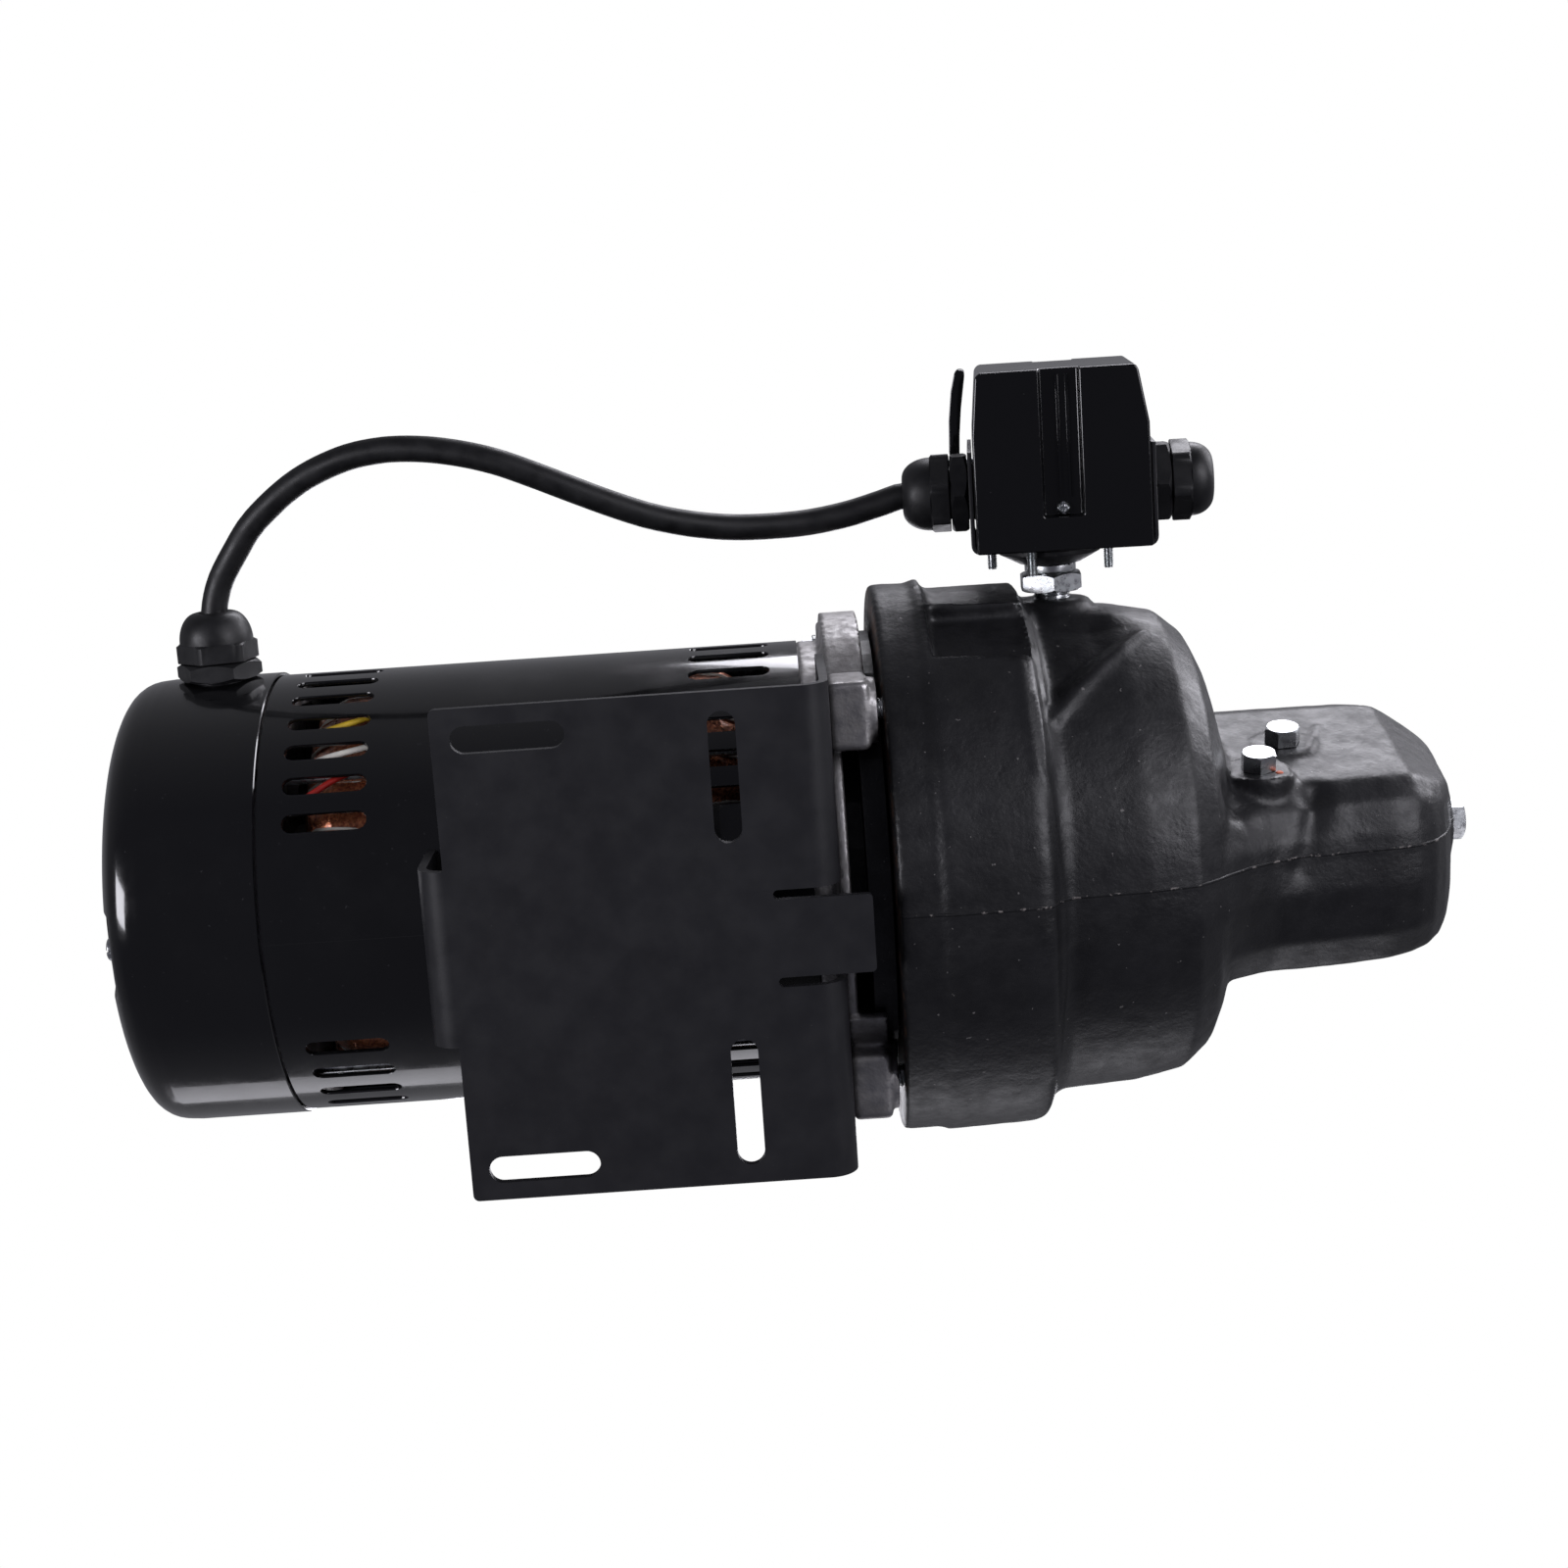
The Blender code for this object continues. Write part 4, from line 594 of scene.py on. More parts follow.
def hexagon(name, corner, low, high, centre, facing, bore=0.0, crowns=(False, True), phase=0.0):
    """A hexagon head or nut, with a turned chamfer at the ends that crowns names."""
    flat = corner * math.cos(math.pi / 6) * 0.985

    def edge(along, way):
        def ring(angle):
            radius = hex_radius(angle, corner)
            return along - way * max(0.0, radius - flat) * 0.577, radius
        return ring

    def end(along, way, crowned):
        rim = edge(along, way) if crowned else lambda angle: (along, hex_radius(angle, corner))
        return [level(along, bore), level(along, flat * (0.999 if crowned else 0.9)), rim]

    profile = end(low, -1, crowns[0]) + end(high, 1, crowns[1])[::-1]
    made = rings(name, profile, 72, (0, 0, 0), "+Z", 24.0)
    made.data.transform(posed(centre, facing) @ Matrix.Rotation(phase, 4, "Z"))
    made.data.update()
    return made


def screw(name, low, high, radius, pitch, centre, facing, bore=0.0, steps=32, depth=0.6):
    """A threaded rod: one helical ridge from low to high, fading out at both ends."""
    rows = max(6, round((high - low) / pitch * 6))
    tall = pitch * depth

    def row(along):
        fade = min(1.0, (along - low) / pitch, (high - along) / pitch)

        def ring(angle):
            phase = (along / pitch - angle / math.tau) % 1.0
            return along, radius - tall * (1 - abs(2 * phase - 1) * max(0.0, fade))
        return ring

    threads = [row(low + (high - low) * step / rows) for step in range(rows + 1)]
    return rings(name, [level(low, bore), *threads, level(high, bore)], steps, centre, facing, 60.0)


def box(name, low, high, bevel=0.0, segments=2):
    low, high = Vector(low), Vector(high)
    grid = bmesh.new()
    place = Matrix.Translation((low + high) / 2) @ Matrix.Diagonal((*(high - low), 1))
    bmesh.ops.create_cube(grid, size=1.0, matrix=place)
    if bevel:
        rims = grid.edges[:]
        bmesh.ops.bevel(grid, geom=rims, offset=bevel, segments=segments, profile=0.5, affect="EDGES")
    return piece(name, grid)


def prism(name, outline, low, high, centre=(0, 0, 0), facing="+Z", bevel=0.0):
    """A flat outline pulled along Z from low to high, with its rims bevelled."""
    grid = bmesh.new()
    face = grid.faces.new([grid.verts.new((*point, low)) for point in outline])
    pulled = bmesh.ops.extrude_face_region(grid, geom=[face])["geom"]
    moved = [part for part in pulled if isinstance(part, bmesh.types.BMVert)]
    bmesh.ops.translate(grid, verts=moved, vec=(0, 0, high - low))
    if bevel:
        rims = [edge for edge in grid.edges if abs(edge.verts[0].co.z - edge.verts[1].co.z) < 1e-9]
        bmesh.ops.bevel(grid, geom=rims, offset=bevel, segments=2, profile=0.5, affect="EDGES")
    return piece(name, grid, posed(centre, facing))


def baked(made):
    """Replaces a mesh by what its modifiers make of it."""
    bpy.context.view_layer.update()
    mesh = bpy.data.meshes.new_from_object(made.evaluated_get(bpy.context.evaluated_depsgraph_get()))
    made.modifiers.clear()
    old, made.data = made.data, mesh
    bpy.data.meshes.remove(old)
    return made


def dropped(*pieces):
    for made in pieces:
        mesh = made.data
        bpy.data.objects.remove(made, do_unlink=True)
        bpy.data.meshes.remove(mesh)


def joined(pieces):
    """One object from several, with their meshes side by side."""
    grid = bmesh.new()
    for made in pieces:
        grid.from_mesh(made.data)
    first = pieces[0]
    grid.to_mesh(first.data)
    grid.free()
    dropped(*pieces[1:])
    return first


def carved(target, *tools, operation="DIFFERENCE"):
    """A Boolean with tools that are then removed. Tools that are joined mustn't touch each other."""
    for tool in tools:
        step = target.modifiers.new("carve", "BOOLEAN")
        step.operation = operation
        step.solver = "EXACT"
        step.object = tool
        baked(target)
        dropped(tool)
    return target


def bevelled(target, width, segments=2, angle=38.0, sharp=35.0):
    step = target.modifiers.new("edges", "BEVEL")
    step.width = width
    step.segments = segments
    step.limit_method = "ANGLE"
    step.angle_limit = math.radians(angle)
    step.miter_outer = "MITER_ARC"
    step.use_clamp_overlap = True
    baked(target)
    smooth(target, sharp)
    step = target.modifiers.new("shade", "WEIGHTED_NORMAL")
    step.keep_sharp = True
    return baked(target)


def fused(pieces, voxel, rounds):
    """One skin over several overlapping solids, with its corners eased."""
    made = joined(pieces)
    step = made.modifiers.new("skin", "REMESH")
    step.mode = "VOXEL"
    step.voxel_size = voxel
    step.use_smooth_shade = True
    ease = made.modifiers.new("ease", "SMOOTH")
    ease.factor = 0.5
    ease.iterations = rounds
    return baked(made)


def polar(angle, radius, centre=SHAFT_LINE):
    """Y and Z of a point round the shaft, at an angle from straight down towards -Y."""
    turn = math.radians(angle)
    return centre[1] - radius * math.sin(turn), centre[2] - radius * math.cos(turn)


def band(start, end, inner, outer, steps, centre=SHAFT_LINE):
    """The outline of a piece of a ring round the shaft, from one angle to another, for a prism along +X."""
    spots = [polar(start + (end - start) * step / steps, inner, centre) for step in range(steps + 1)]
    spots += [polar(end - (end - start) * step / steps, outer, centre) for step in range(steps + 1)]
    return [(-(z - AXIS), y - centre[1]) for y, z in spots]


def slot_points(length, width, across=False, steps=12):
    """The outline of a slot with round ends, along X or across it."""
    radius = width / 2
    reach = length / 2 - radius
    points = []
    for side in (1, -1):
        for step in range(steps + 1):
            turn = math.pi * (step / steps - 0.5)
            points.append((side * (reach + radius * math.cos(turn)), side * radius * math.sin(turn)))
    return [(-y, x) for x, y in points] if across else points


def smooth_route(points, spacing):
    """Points about spacing apart on a Catmull-Rom curve through the given ones."""
    path = [Vector(point) for point in points]
    ends = [2 * path[0] - path[1]] + path + [2 * path[-1] - path[-2]]
    fine = []
    for a, b, c, d in zip(ends, ends[1:], ends[2:], ends[3:]):
        for step in range(12):
            t = step / 12
            bend, twist = 2 * a - 5 * b + 4 * c - d, 3 * b - a - 3 * c + d
            fine.append(0.5 * (2 * b + (c - a) * t + bend * t**2 + twist * t**3))
    fine.append(path[-1])
    total = sum((b - a).length for a, b in zip(fine, fine[1:]))
    count = max(2, round(total / spacing))
    kept, gone, target = [fine[0]], 0.0, total / count
    for a, b in zip(fine, fine[1:]):
        gone += (b - a).length
        if gone >= target * len(kept) - 1e-9 and len(kept) < count:
            kept.append(b)
    return kept + [fine[-1]]


def wire(name, route, radius, spacing=0.002, sides=2):
    """A round wire along a smooth route, as a curve."""
    curve = bpy.data.curves.new(name, "CURVE")
    curve.dimensions = "3D"
    curve.bevel_depth = radius
    curve.bevel_resolution = sides
    curve.use_fill_caps = True
    path = smooth_route(route, spacing)
    line = curve.splines.new("POLY")
    line.points.add(len(path) - 1)
    for point, spot in zip(line.points, path):
        point.co = (*spot, 1.0)
    line.use_smooth = True
    made = bpy.data.objects.new(name, curve)
    bpy.context.scene.collection.objects.link(made)
    return made


def true_normals(made, normal_at, tolerance=20.0):
    """Gives the faces that lie on a known smooth surface that surface's own normals."""
    mesh = made.data
    limit = math.cos(math.radians(tolerance))
    kept = [Vector(item.vector) for item in mesh.corner_normals]
    for face in mesh.polygons:
        for corner in face.loop_indices:
            spot = mesh.vertices[mesh.loops[corner].vertex_index].co
            ideal = normal_at(spot, face.normal)
            if ideal is not None and ideal.dot(face.normal) > limit:
                kept[corner] = ideal
    mesh.normals_split_custom_set(kept)


# ---- The motor ----


def round_normal(spot, facing):
    out = Vector((0.0, spot.y, spot.z - AXIS)).normalized()
    return out if out.dot(facing) > 0 else -out


def vent_cutter(along, angle):
    """A punched slot's tool, flared at the sheet's outer face so that the edge is soft."""
    levels = ((-0.0040, 0.0), (-0.0004, 0.0), (0.0000, 0.00022), (0.0008, 0.0012))
    grid = bmesh.new()
    loops = []
    for rise, grow in levels:
        spots = slot_points(VENT_LENGTH + 2 * grow, VENT_WIDTH + 2 * grow, steps=8)
        loops.append([grid.verts.new((x, y, rise)) for x, y in spots])
    grid.faces.new(loops[0][::-1])
    grid.faces.new(loops[-1])
    for low, high in zip(loops, loops[1:]):
        walls(grid, low, high)
    place = Matrix.Translation((along, *polar(angle, SHELL_RADIUS)))
    return piece("vent", grid, place @ Matrix.Rotation(math.radians(180 - angle), 4, "X"))


def motor_shell():
    """The rolled sheet with its punched vents and its seam."""
    inside = SHELL_RADIUS - SHELL_SHEET
    outline = [(SHELL_REAR, inside), (SHELL_REAR, SHELL_RADIUS),
               (SHELL_FRONT, SHELL_RADIUS), (SHELL_FRONT, inside)]
    shell = lathe("shell_tube", outline, steps=240, round_off=0.0003)
    vents = [vent_cutter(along, side * angle)
             for along in VENT_ROWS for side in (-1, 1) for angle in VENT_ANGLES]
    carved(shell, joined(vents))
    smooth(shell)
    true_normals(shell, round_normal)
    shown(shell, "motor_shell")
    # The sheet's lap along the bottom
    y, z = -0.0014, AXIS - SHELL_RADIUS + 0.00015
    outline = [(y - 0.0011, z), (y - 0.0006, z - 0.00026), (y + 0.0005, z - 0.00030), (y + 0.0009, z)]
    outline = [(-(b - AXIS), a) for a, b in soften(outline, 0.0003, True)]
    lap = prism("shell_lap", outline, SHELL_REAR + 0.0004, SHELL_FRONT - 0.0004, SHAFT_LINE, "+X")
    shown(lap, slot="shell_enamel")


CAP_PROFILE = [
    (-0.1860, 0.0),
    (-0.1852, 0.0220),
    (-0.1832, 0.0400),
    (-0.1812, 0.0510),
    (-0.1793, 0.0600),
    (-0.1776, 0.0670),
    (-0.1758, 0.0722),
    (-0.1732, 0.0760),
    (-0.1690, 0.0783),
    (-0.1625, CAP_RADIUS),
]


def cap_outline(shrink=0.0):
    spots = [Vector((along, radius, 0)) for along, radius in CAP_PROFILE]
    fine = smooth_route(spots, 0.0018)
    out = []
    for before, spot, after in zip([fine[0]] + fine[:-1], fine, fine[1:] + [fine[-1]]):
        way = (after - before).normalized()
        out.append((spot.x + way.y * shrink, max(0.0, spot.y - way.x * shrink)))
    out[0] = (CAP_PROFILE[0][0] + shrink, 0.0)
    return out


def rear_end_cap():
    """The drawn cap, with a pocket pressed into its rim for the screw that holds it."""
    outside, inside = cap_outline(), cap_outline(SHELL_SHEET)
    rim = [(CAP_MOUTH - 0.0003, CAP_RADIUS), (CAP_MOUTH, CAP_RADIUS - 0.0004),
           (CAP_MOUTH, CAP_RADIUS - SHELL_SHEET)]
    cap = lathe("cap_drawn_sheet", outside + rim + inside[::-1], steps=240, round_off=0)
    low = AXIS - 0.09
    filled = outside + [(CAP_MOUTH, CAP_RADIUS), (CAP_MOUTH, 0.0)]
    solid = lathe("pocket_wall", filled, steps=240, round_off=0)
    block = box("pocket_block", (-0.21, -0.0149, low), (-0.1730, 0.0181, AXIS - 0.0500), 0.002)
    carved(solid, block, operation="INTERSECT")
    carved(cap, solid, operation="UNION")
    carved(cap, box("pocket", (-0.22, -0.0134, low - 0.01), (-0.1745, 0.0166, AXIS - 0.0515), 0.0022, 4))
    carved(cap, rod("gland_hole", 0.060, 0.090, 0.0114, centre=(MOTOR_GLAND_AT[0], 0, AXIS), facing="-Y"))
    smooth(cap, 28.0)
    profile = np.array(outside + rim[:1])

    def cap_normal(spot, facing):
        radius = math.hypot(spot.y, spot.z - AXIS)
        if radius < 1e-5:
            return Vector((-1, 0, 0)) if facing.x < 0 else None
        gap = np.hypot(profile[:, 0] - spot.x, profile[:, 1] - radius)
        nearest = int(gap.argmin())
        if gap[nearest] > 0.0010 and spot.x < -0.1640:
            return None
        if spot.x >= -0.1622:
            slope = Vector((1.0, 0.0))
        else:
            before, after = max(0, nearest - 1), min(len(profile) - 1, nearest + 1)
            slope = Vector(profile[after] - profile[before]).normalized()
        out = Vector((-slope.y, slope.x * spot.y / radius, slope.x * (spot.z - AXIS) / radius))
        return out if out.dot(facing) > 0 else None

    true_normals(cap, cap_normal, 12.0)
    shown(cap, "rear_end_cap")
    outline = [(-0.1782, 0), (-0.1782, 0.0034), (-0.1776, 0.0040), (-0.1748, 0.0040), (-0.1748, 0)]
    head = lathe("cap_screw_head", outline, centre=CAP_SCREW_AT, steps=36)
    carved(head, box("cap_screw_slot", (-0.1790, 0.0001, AXIS - 0.0690), (-0.1773, 0.0011, AXIS - 0.0570)))
    shown(head, "cap_screw")


COIL_SECTION = [
    (0, 0.0465),
    (0.020, 0.0462),
    (0.033, 0.0485),
    (0.0395, 0.0560),
    (0.0370, 0.0645),
    (0.028, 0.0690),
    (0.012, 0.0698),
    (0, 0.0690),
]
COIL_REACH, COIL_CIRCLE, COIL_BUNDLES = 0.0395, 0.0580, 24


def windings():
    """The coils' end turns, in bundles that the lacing cord pulls in."""
    ends = (("rear_windings", STATOR_REAR - 0.0003, -1.0), ("front_windings", STATOR_FRONT + 0.0003, 0.84))
    for name, root, stretch in ends:
        fine = soften(COIL_SECTION, 0.004, True, 4)

        def bundle(spot):
            along, radius = spot

            def ring(angle):
                slack = 1 - (0.90 + 0.10 * abs(math.sin(angle * COIL_BUNDLES / 2)) ** 0.5)
                share = along / COIL_REACH
                wobble = 0.0006 * noise.noise(Vector((angle * 9, along * 400, stretch)))
                out = COIL_CIRCLE + (radius - COIL_CIRCLE) * (1 - slack * share) + wobble
                return root + stretch * along * (1 - 0.06 * share * slack * 10), out
            return ring

        made = rings(f"{name}_coils", [bundle(spot) for spot in fine], 288, SHAFT_LINE, "+X", 60.0)
        shown(made, name)
        loops = []
        for bundle_number in range(COIL_BUNDLES):
            angle = bundle_number * 360 / COIL_BUNDLES
            route = []
            for step in range(16):
                swing = math.tau * step / 16
                y, z = polar(angle + 1.5 * math.sin(swing), COIL_CIRCLE + 0.0108 * math.cos(swing))
                route.append((root + stretch * (0.0225 + 0.0155 * math.sin(swing)), y, z))
            loops.append(lace_loop(route))
        lace = joined(loops)
        lace.name = f"{name}_lacing"
        shown(lace, slot="fan_plastic", coat=LACING)


def lace_loop(route, radius=0.0006, sides=6):
    """A closed loop of cord, as a mesh."""
    path = [Vector(spot) for spot in route]
    middle = sum(path, Vector()) / len(path)
    grid = bmesh.new()
    turns = [math.tau * side / sides for side in range(sides)]
    loops = []
    for before, spot, after in zip(path[-1:] + path[:-1], path, path[1:] + path[:1]):
        way = (after - before).normalized()
        out = (spot - middle).normalized()
        out = (out - way * out.dot(way)).normalized()
        side = way.cross(out)
        loops.append([grid.verts.new(spot + radius * (math.cos(turn) * out + math.sin(turn) * side))
                      for turn in turns])
    for low, high in zip(loops, loops[1:] + loops[:1]):
        walls(grid, low, high)
    return piece("lace", grid, sharp=None)


# The loose wires behind the rear vents: X, angle and radius of the points on each
LEADS = (
    ("yellow_lead", YELLOW_WIRE,
     [(-0.1250, 52, 0.0735), (-0.1120, 56, 0.0742), (-0.1000, 61, 0.0738), (-0.0860, 66, 0.0735)]),
    ("red_lead", RED_WIRE,
     [(-0.1240, 33, 0.0730), (-0.1100, 37, 0.0742), (-0.0980, 43, 0.0740), (-0.0860, 47, 0.0732)]),
    ("white_lead", LACING,
     [(-0.1240, 44, 0.0738), (-0.1120, 46, 0.0740), (-0.1020, 50, 0.0738), (-0.0880, 53, 0.0738)]),
)


def motor_inside():
    """What shows through the vents: the coils, the through bolts and the loose wires."""
    windings()
    reach = THROUGH_BOLT_CIRCLE / math.sqrt(2)
    for index, (side, rise) in enumerate(DIAGONALS):
        at = (0, side * reach, AXIS + rise * reach)
        bolt = rod(f"through_bolt_{index + 1}", THROUGH_BOLT_REAR, THROUGH_BOLT_FRONT, THROUGH_BOLT_RADIUS,
                   centre=at, steps=20)
        shown(bolt, slot="zinc_plate")
    for name, coat, route in LEADS:
        lead = wire(name, [(x, *polar(angle, radius)) for x, angle, radius in route], 0.0011)
        lead.data.materials.append(coat)
        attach(lead, "pump")


def front_bracket():
    """The cast end frame between the motor and the casing, with its four lugs, windows and side rims."""
    outline = [
        (0.0535, BEARING_RADIUS + 0.0003),
        (0.0535, 0.0245),
        (0.0675, 0.0245),
        (0.0675, 0.0690),
        (0.0540, 0.0690),
        (0.0540, STATOR_RADIUS),
        (0.0600, STATOR_RADIUS),
        (0.0600, 0.0776),
        (0.0679, 0.0776),
        (0.0679, 0.0820),
        (0.0717, 0.0820),
        (0.0717, 0.0120),
        (0.0680, 0.0120),
        (0.0680, BEARING_RADIUS + 0.0003),
    ]
    bracket = lathe("bracket_casting", outline, steps=120, round_off=0)
    windows = [rod("window", 0.06, 0.08, 0.013, centre=(0, *polar(angle, 0.046)), steps=32)
               for angle in range(0, 360, 90)]
    carved(bracket, joined(windows))
    half = LUG_WIDTH / 2
    parts = [bracket]
    for start, end, outer in ((40, 140, 0.0873), (-152, -28, 0.0840)):
        outline = band(start, end, 0.0806, outer, 28)
        parts.append(prism("rim", outline, LUG_REAR + 0.0002, LUG_FRONT - 0.0002, SHAFT_LINE, "+X"))
    for y, z in LUGS:
        parts.append(box("lug", (LUG_REAR, y - half, z - half), (LUG_FRONT, y + half, z + half), 0.0018, 3))
        parts.append(rod("lug_boss", LUG_FRONT - 0.001, BOSS_FRONT, 0.0110, centre=(0, y, z), steps=40))
    bracket = fused(parts, 0.0009, 3)
    holes = [rod("hole", 0.060, 0.090, BOLT_HOLE, centre=(0, *lug), steps=24) for lug in LUGS]
    carved(bracket, joined(holes))
    smooth(bracket, 45.0)
    shown(bracket, "front_bracket")


def casing_bolts():
    """Hexagon bolts with a washer. The lower two also hold the base's arms."""
    for index, (y, z) in enumerate(LUGS):
        seat = (LUG_REAR if z > AXIS else BASE_ARM_FACE - BASE_SHEET) - 0.0003
        at = (0, y, z)
        head = hexagon("head", 0.0066, seat - 0.0053, seat - 0.0013, at, "+X", crowns=(True, False),
                       phase=0.3 * index)
        washer = rod("washer", seat - 0.0014, seat, 0.0075, centre=at, steps=48)
        shank = screw("shank", seat - 0.0005, 0.0990, 0.0040, 0.00125, at, "+X")
        bolt = joined([head, washer, shank])
        bolt.name = f"lug_bolt_{index + 1}"
        shown(bolt, f"casing_bolt_{index + 1}")


# ---- The base ----


def base_bracket():
    """The folded sheet base, cut from one skin and thickened to both sides."""
    half = BASE_SHEET / 2
    bend = BASE_FOLD - half
    front, rear = [(BASE_RELIEF, half)], []
    folds = 12
    for step in range(folds + 1):
        turn = math.pi / 2 * step / folds
        out, up = bend * math.sin(turn), half + bend * (1 - math.cos(turn))
        front.append((BASE_ARM_FACE - BASE_FOLD + out, up))
        rear.append((BASE_REAR - out, up))
    front.append((BASE_ARM_FACE - half, BASE_ARM_TOP))
    rear.append((BASE_REAR - bend, 0.045))
    tab = [(BASE_RELIEF, half), (BASE_TAB_END, half)]
    plate = [(BASE_REAR, half), (BASE_RELIEF, half)]
    relief, saddle = 0.016, 0.029
    marks = [BASE_TAB_HALF, relief, saddle, BASE_HALF_WIDTH]
    marks = [-mark for mark in reversed(marks)] + marks
    grid = bmesh.new()
    for low, high in zip(marks, marks[1:]):
        middle = abs(low + high) / 2
        strips = [plate]
        if middle > relief:
            strips.append(front)
        if middle < BASE_TAB_HALF:
            strips.append(tab)
        if middle < saddle:
            strips.append(rear)
        for strip in strips:
            for (x0, z0), (x1, z1) in zip(strip, strip[1:]):
                corners = [(x0, low, z0), (x1, low, z1), (x1, high, z1), (x0, high, z0)]
                grid.faces.new([grid.verts.new(corner) for corner in corners])
    bmesh.ops.remove_doubles(grid, verts=grid.verts, dist=0.00001)
    base = piece("folded_base", grid)
    sheet = base.modifiers.new("sheet", "SOLIDIFY")
    sheet.thickness = BASE_SHEET
    sheet.offset = 0.0
    sheet.use_even_offset = True
    baked(base)
    tools = []
    for ((x, y), length), across in ((LONG_SLOTS, False), (CROSS_SLOTS, True)):
        for side in (-1, 1):
            outline = slot_points(length, SLOT_WIDTH, across, 16)
            tools.append(prism("slot", outline, -0.01, 0.01, (x, side * y, 0)))
    for side in (-1, 1):
        at = (0, side * LUG_OFFSET, AXIS - LUG_OFFSET)
        tools.append(rod("bolt_hole", 0.055, 0.075, BOLT_HOLE, centre=at, steps=32))
        # The round inner ends of the relief slots beside the tab
        at = (BASE_RELIEF, side * 0.0144, 0)
        tools.append(rod("relief_end", -0.01, 0.01, 0.0016, centre=at, facing="+Z", steps=24))
    carved(base, joined(tools))
    carved(base, rod("arm_clearance", 0.060, 0.075, 0.0800, steps=160))
    carved(base, rod("saddle_clearance", -0.075, -0.0600, SHELL_RADIUS + 0.0024, steps=160))
    for side in (-1, 1):
        carved(base, corner_tool(BASE_TAB_END, side * BASE_TAB_HALF, 0.0016, side))
        carved(base, corner_tool(BASE_REAR, side * BASE_HALF_WIDTH, -0.0020, side))
    bevelled(base, 0.00035, 2, 50.0)
    shown(base, "base_bracket")
    outline = band(20, -20, SHELL_RADIUS + 0.0005, SHELL_RADIUS + 0.0020, 24)
    cushion = prism("saddle_cushion", outline, -0.0680, -0.0610, SHAFT_LINE, "+X", 0.0003)
    shown(cushion, "rear_cushion")


def corner_tool(x, y, radius, side):
    """What a round corner leaves out of a square one. A negative radius rounds a corner on the -X side."""
    way = 1 if radius > 0 else -1
    radius = abs(radius)
    middle = (x - way * radius, y - side * radius)
    arc = [(middle[0] + way * radius * math.sin(math.pi / 2 * step / 6),
            middle[1] + side * radius * math.cos(math.pi / 2 * step / 6)) for step in range(7)]
    outline = arc + [(x + way * 0.001, y - side * radius), (x + way * 0.001, y + side * 0.001),
                     (middle[0], y + side * 0.001)]
    return prism("corner", outline, -0.01, 0.01)


# ---- The casing ----

CASING_OUTSIDE = [
    (CASING_REAR, 0.0),
    (CASING_REAR, 0.0978),
    (0.1000, 0.0976),
    (0.1022, 0.0988),
    (0.1330, 0.0978),
    (0.1368, 0.0965),
    (0.1395, 0.0895),
    (0.1440, 0.0872),
    (0.1700, 0.0858),
    (0.1865, 0.0824),
    (0.1950, 0.0752),
    (0.1997, 0.0655),
    (0.2027, 0.0545),
    (0.2062, 0.0410),
    (0.2062, 0.0),
]
NOSE_SECTION = [
    (-0.0385, 0.0200),
    (-0.0240, -0.0400),
    (-0.0170, -0.0475),
    (-0.0060, -0.0510),
    (0.0120, -0.0520),
    (0.0300, -0.0485),
    (0.0430, -0.0370),
    (0.0490, -0.0180),
    (0.0495, 0.0100),
    (0.0480, 0.0350),
    (0.0370, 0.0550),
    (0.0050, 0.0620),
    (-0.0220, 0.0575),
    (-0.0350, 0.0430),
]
NOSE_STATIONS = [
    (0.1500, 1.00, 1.06, 1.04, 1.04, 0.0300),
    (0.1700, 1.00, 1.06, 1.04, 1.04, 0.0290),
    (0.1865, 1.00, 1.06, 1.04, 1.04, 0.0260),
    (0.1960, 1.00, 1.06, 1.04, 1.04, 0.0210),
    (0.2060, 1.00, 1.03, 1.01, 1.01, 0.0130),
    (0.2170, 1.00, 1.00, 1.00, 1.00, 0.0060),
    (0.2300, 1.00, 1.00, 1.00, 1.00, 0.0020),
    (0.2450, 1.00, 0.99, 0.99, 0.99, 0.0),
    (0.2600, 1.00, 0.97, 0.97, 0.97, 0.0),
    (0.2680, 0.98, 0.94, 0.93, 0.95, 0.0),
    (0.2745, 0.87, 0.91, 0.84, 0.93, 0.0),
    (0.2800, 0.76, 0.86, 0.68, 0.90, 0.0),
    (0.2840, 0.68, 0.79, 0.49, 0.85, 0.0),
    (0.2870, 0.60, 0.70, 0.30, 0.79, 0.0),
    (0.2888, 0.50, 0.58, 0.16, 0.70, 0.0),
]

# The slanting ridge's ends, X and angle, and how deep the triangle beside it is sunk
RIDGE_ENDS = ((0.1422, 43.4), (0.1779, 67.5))
SUNK_DEPTH = 0.0030
PARTING_HEIGHT = 0.00022

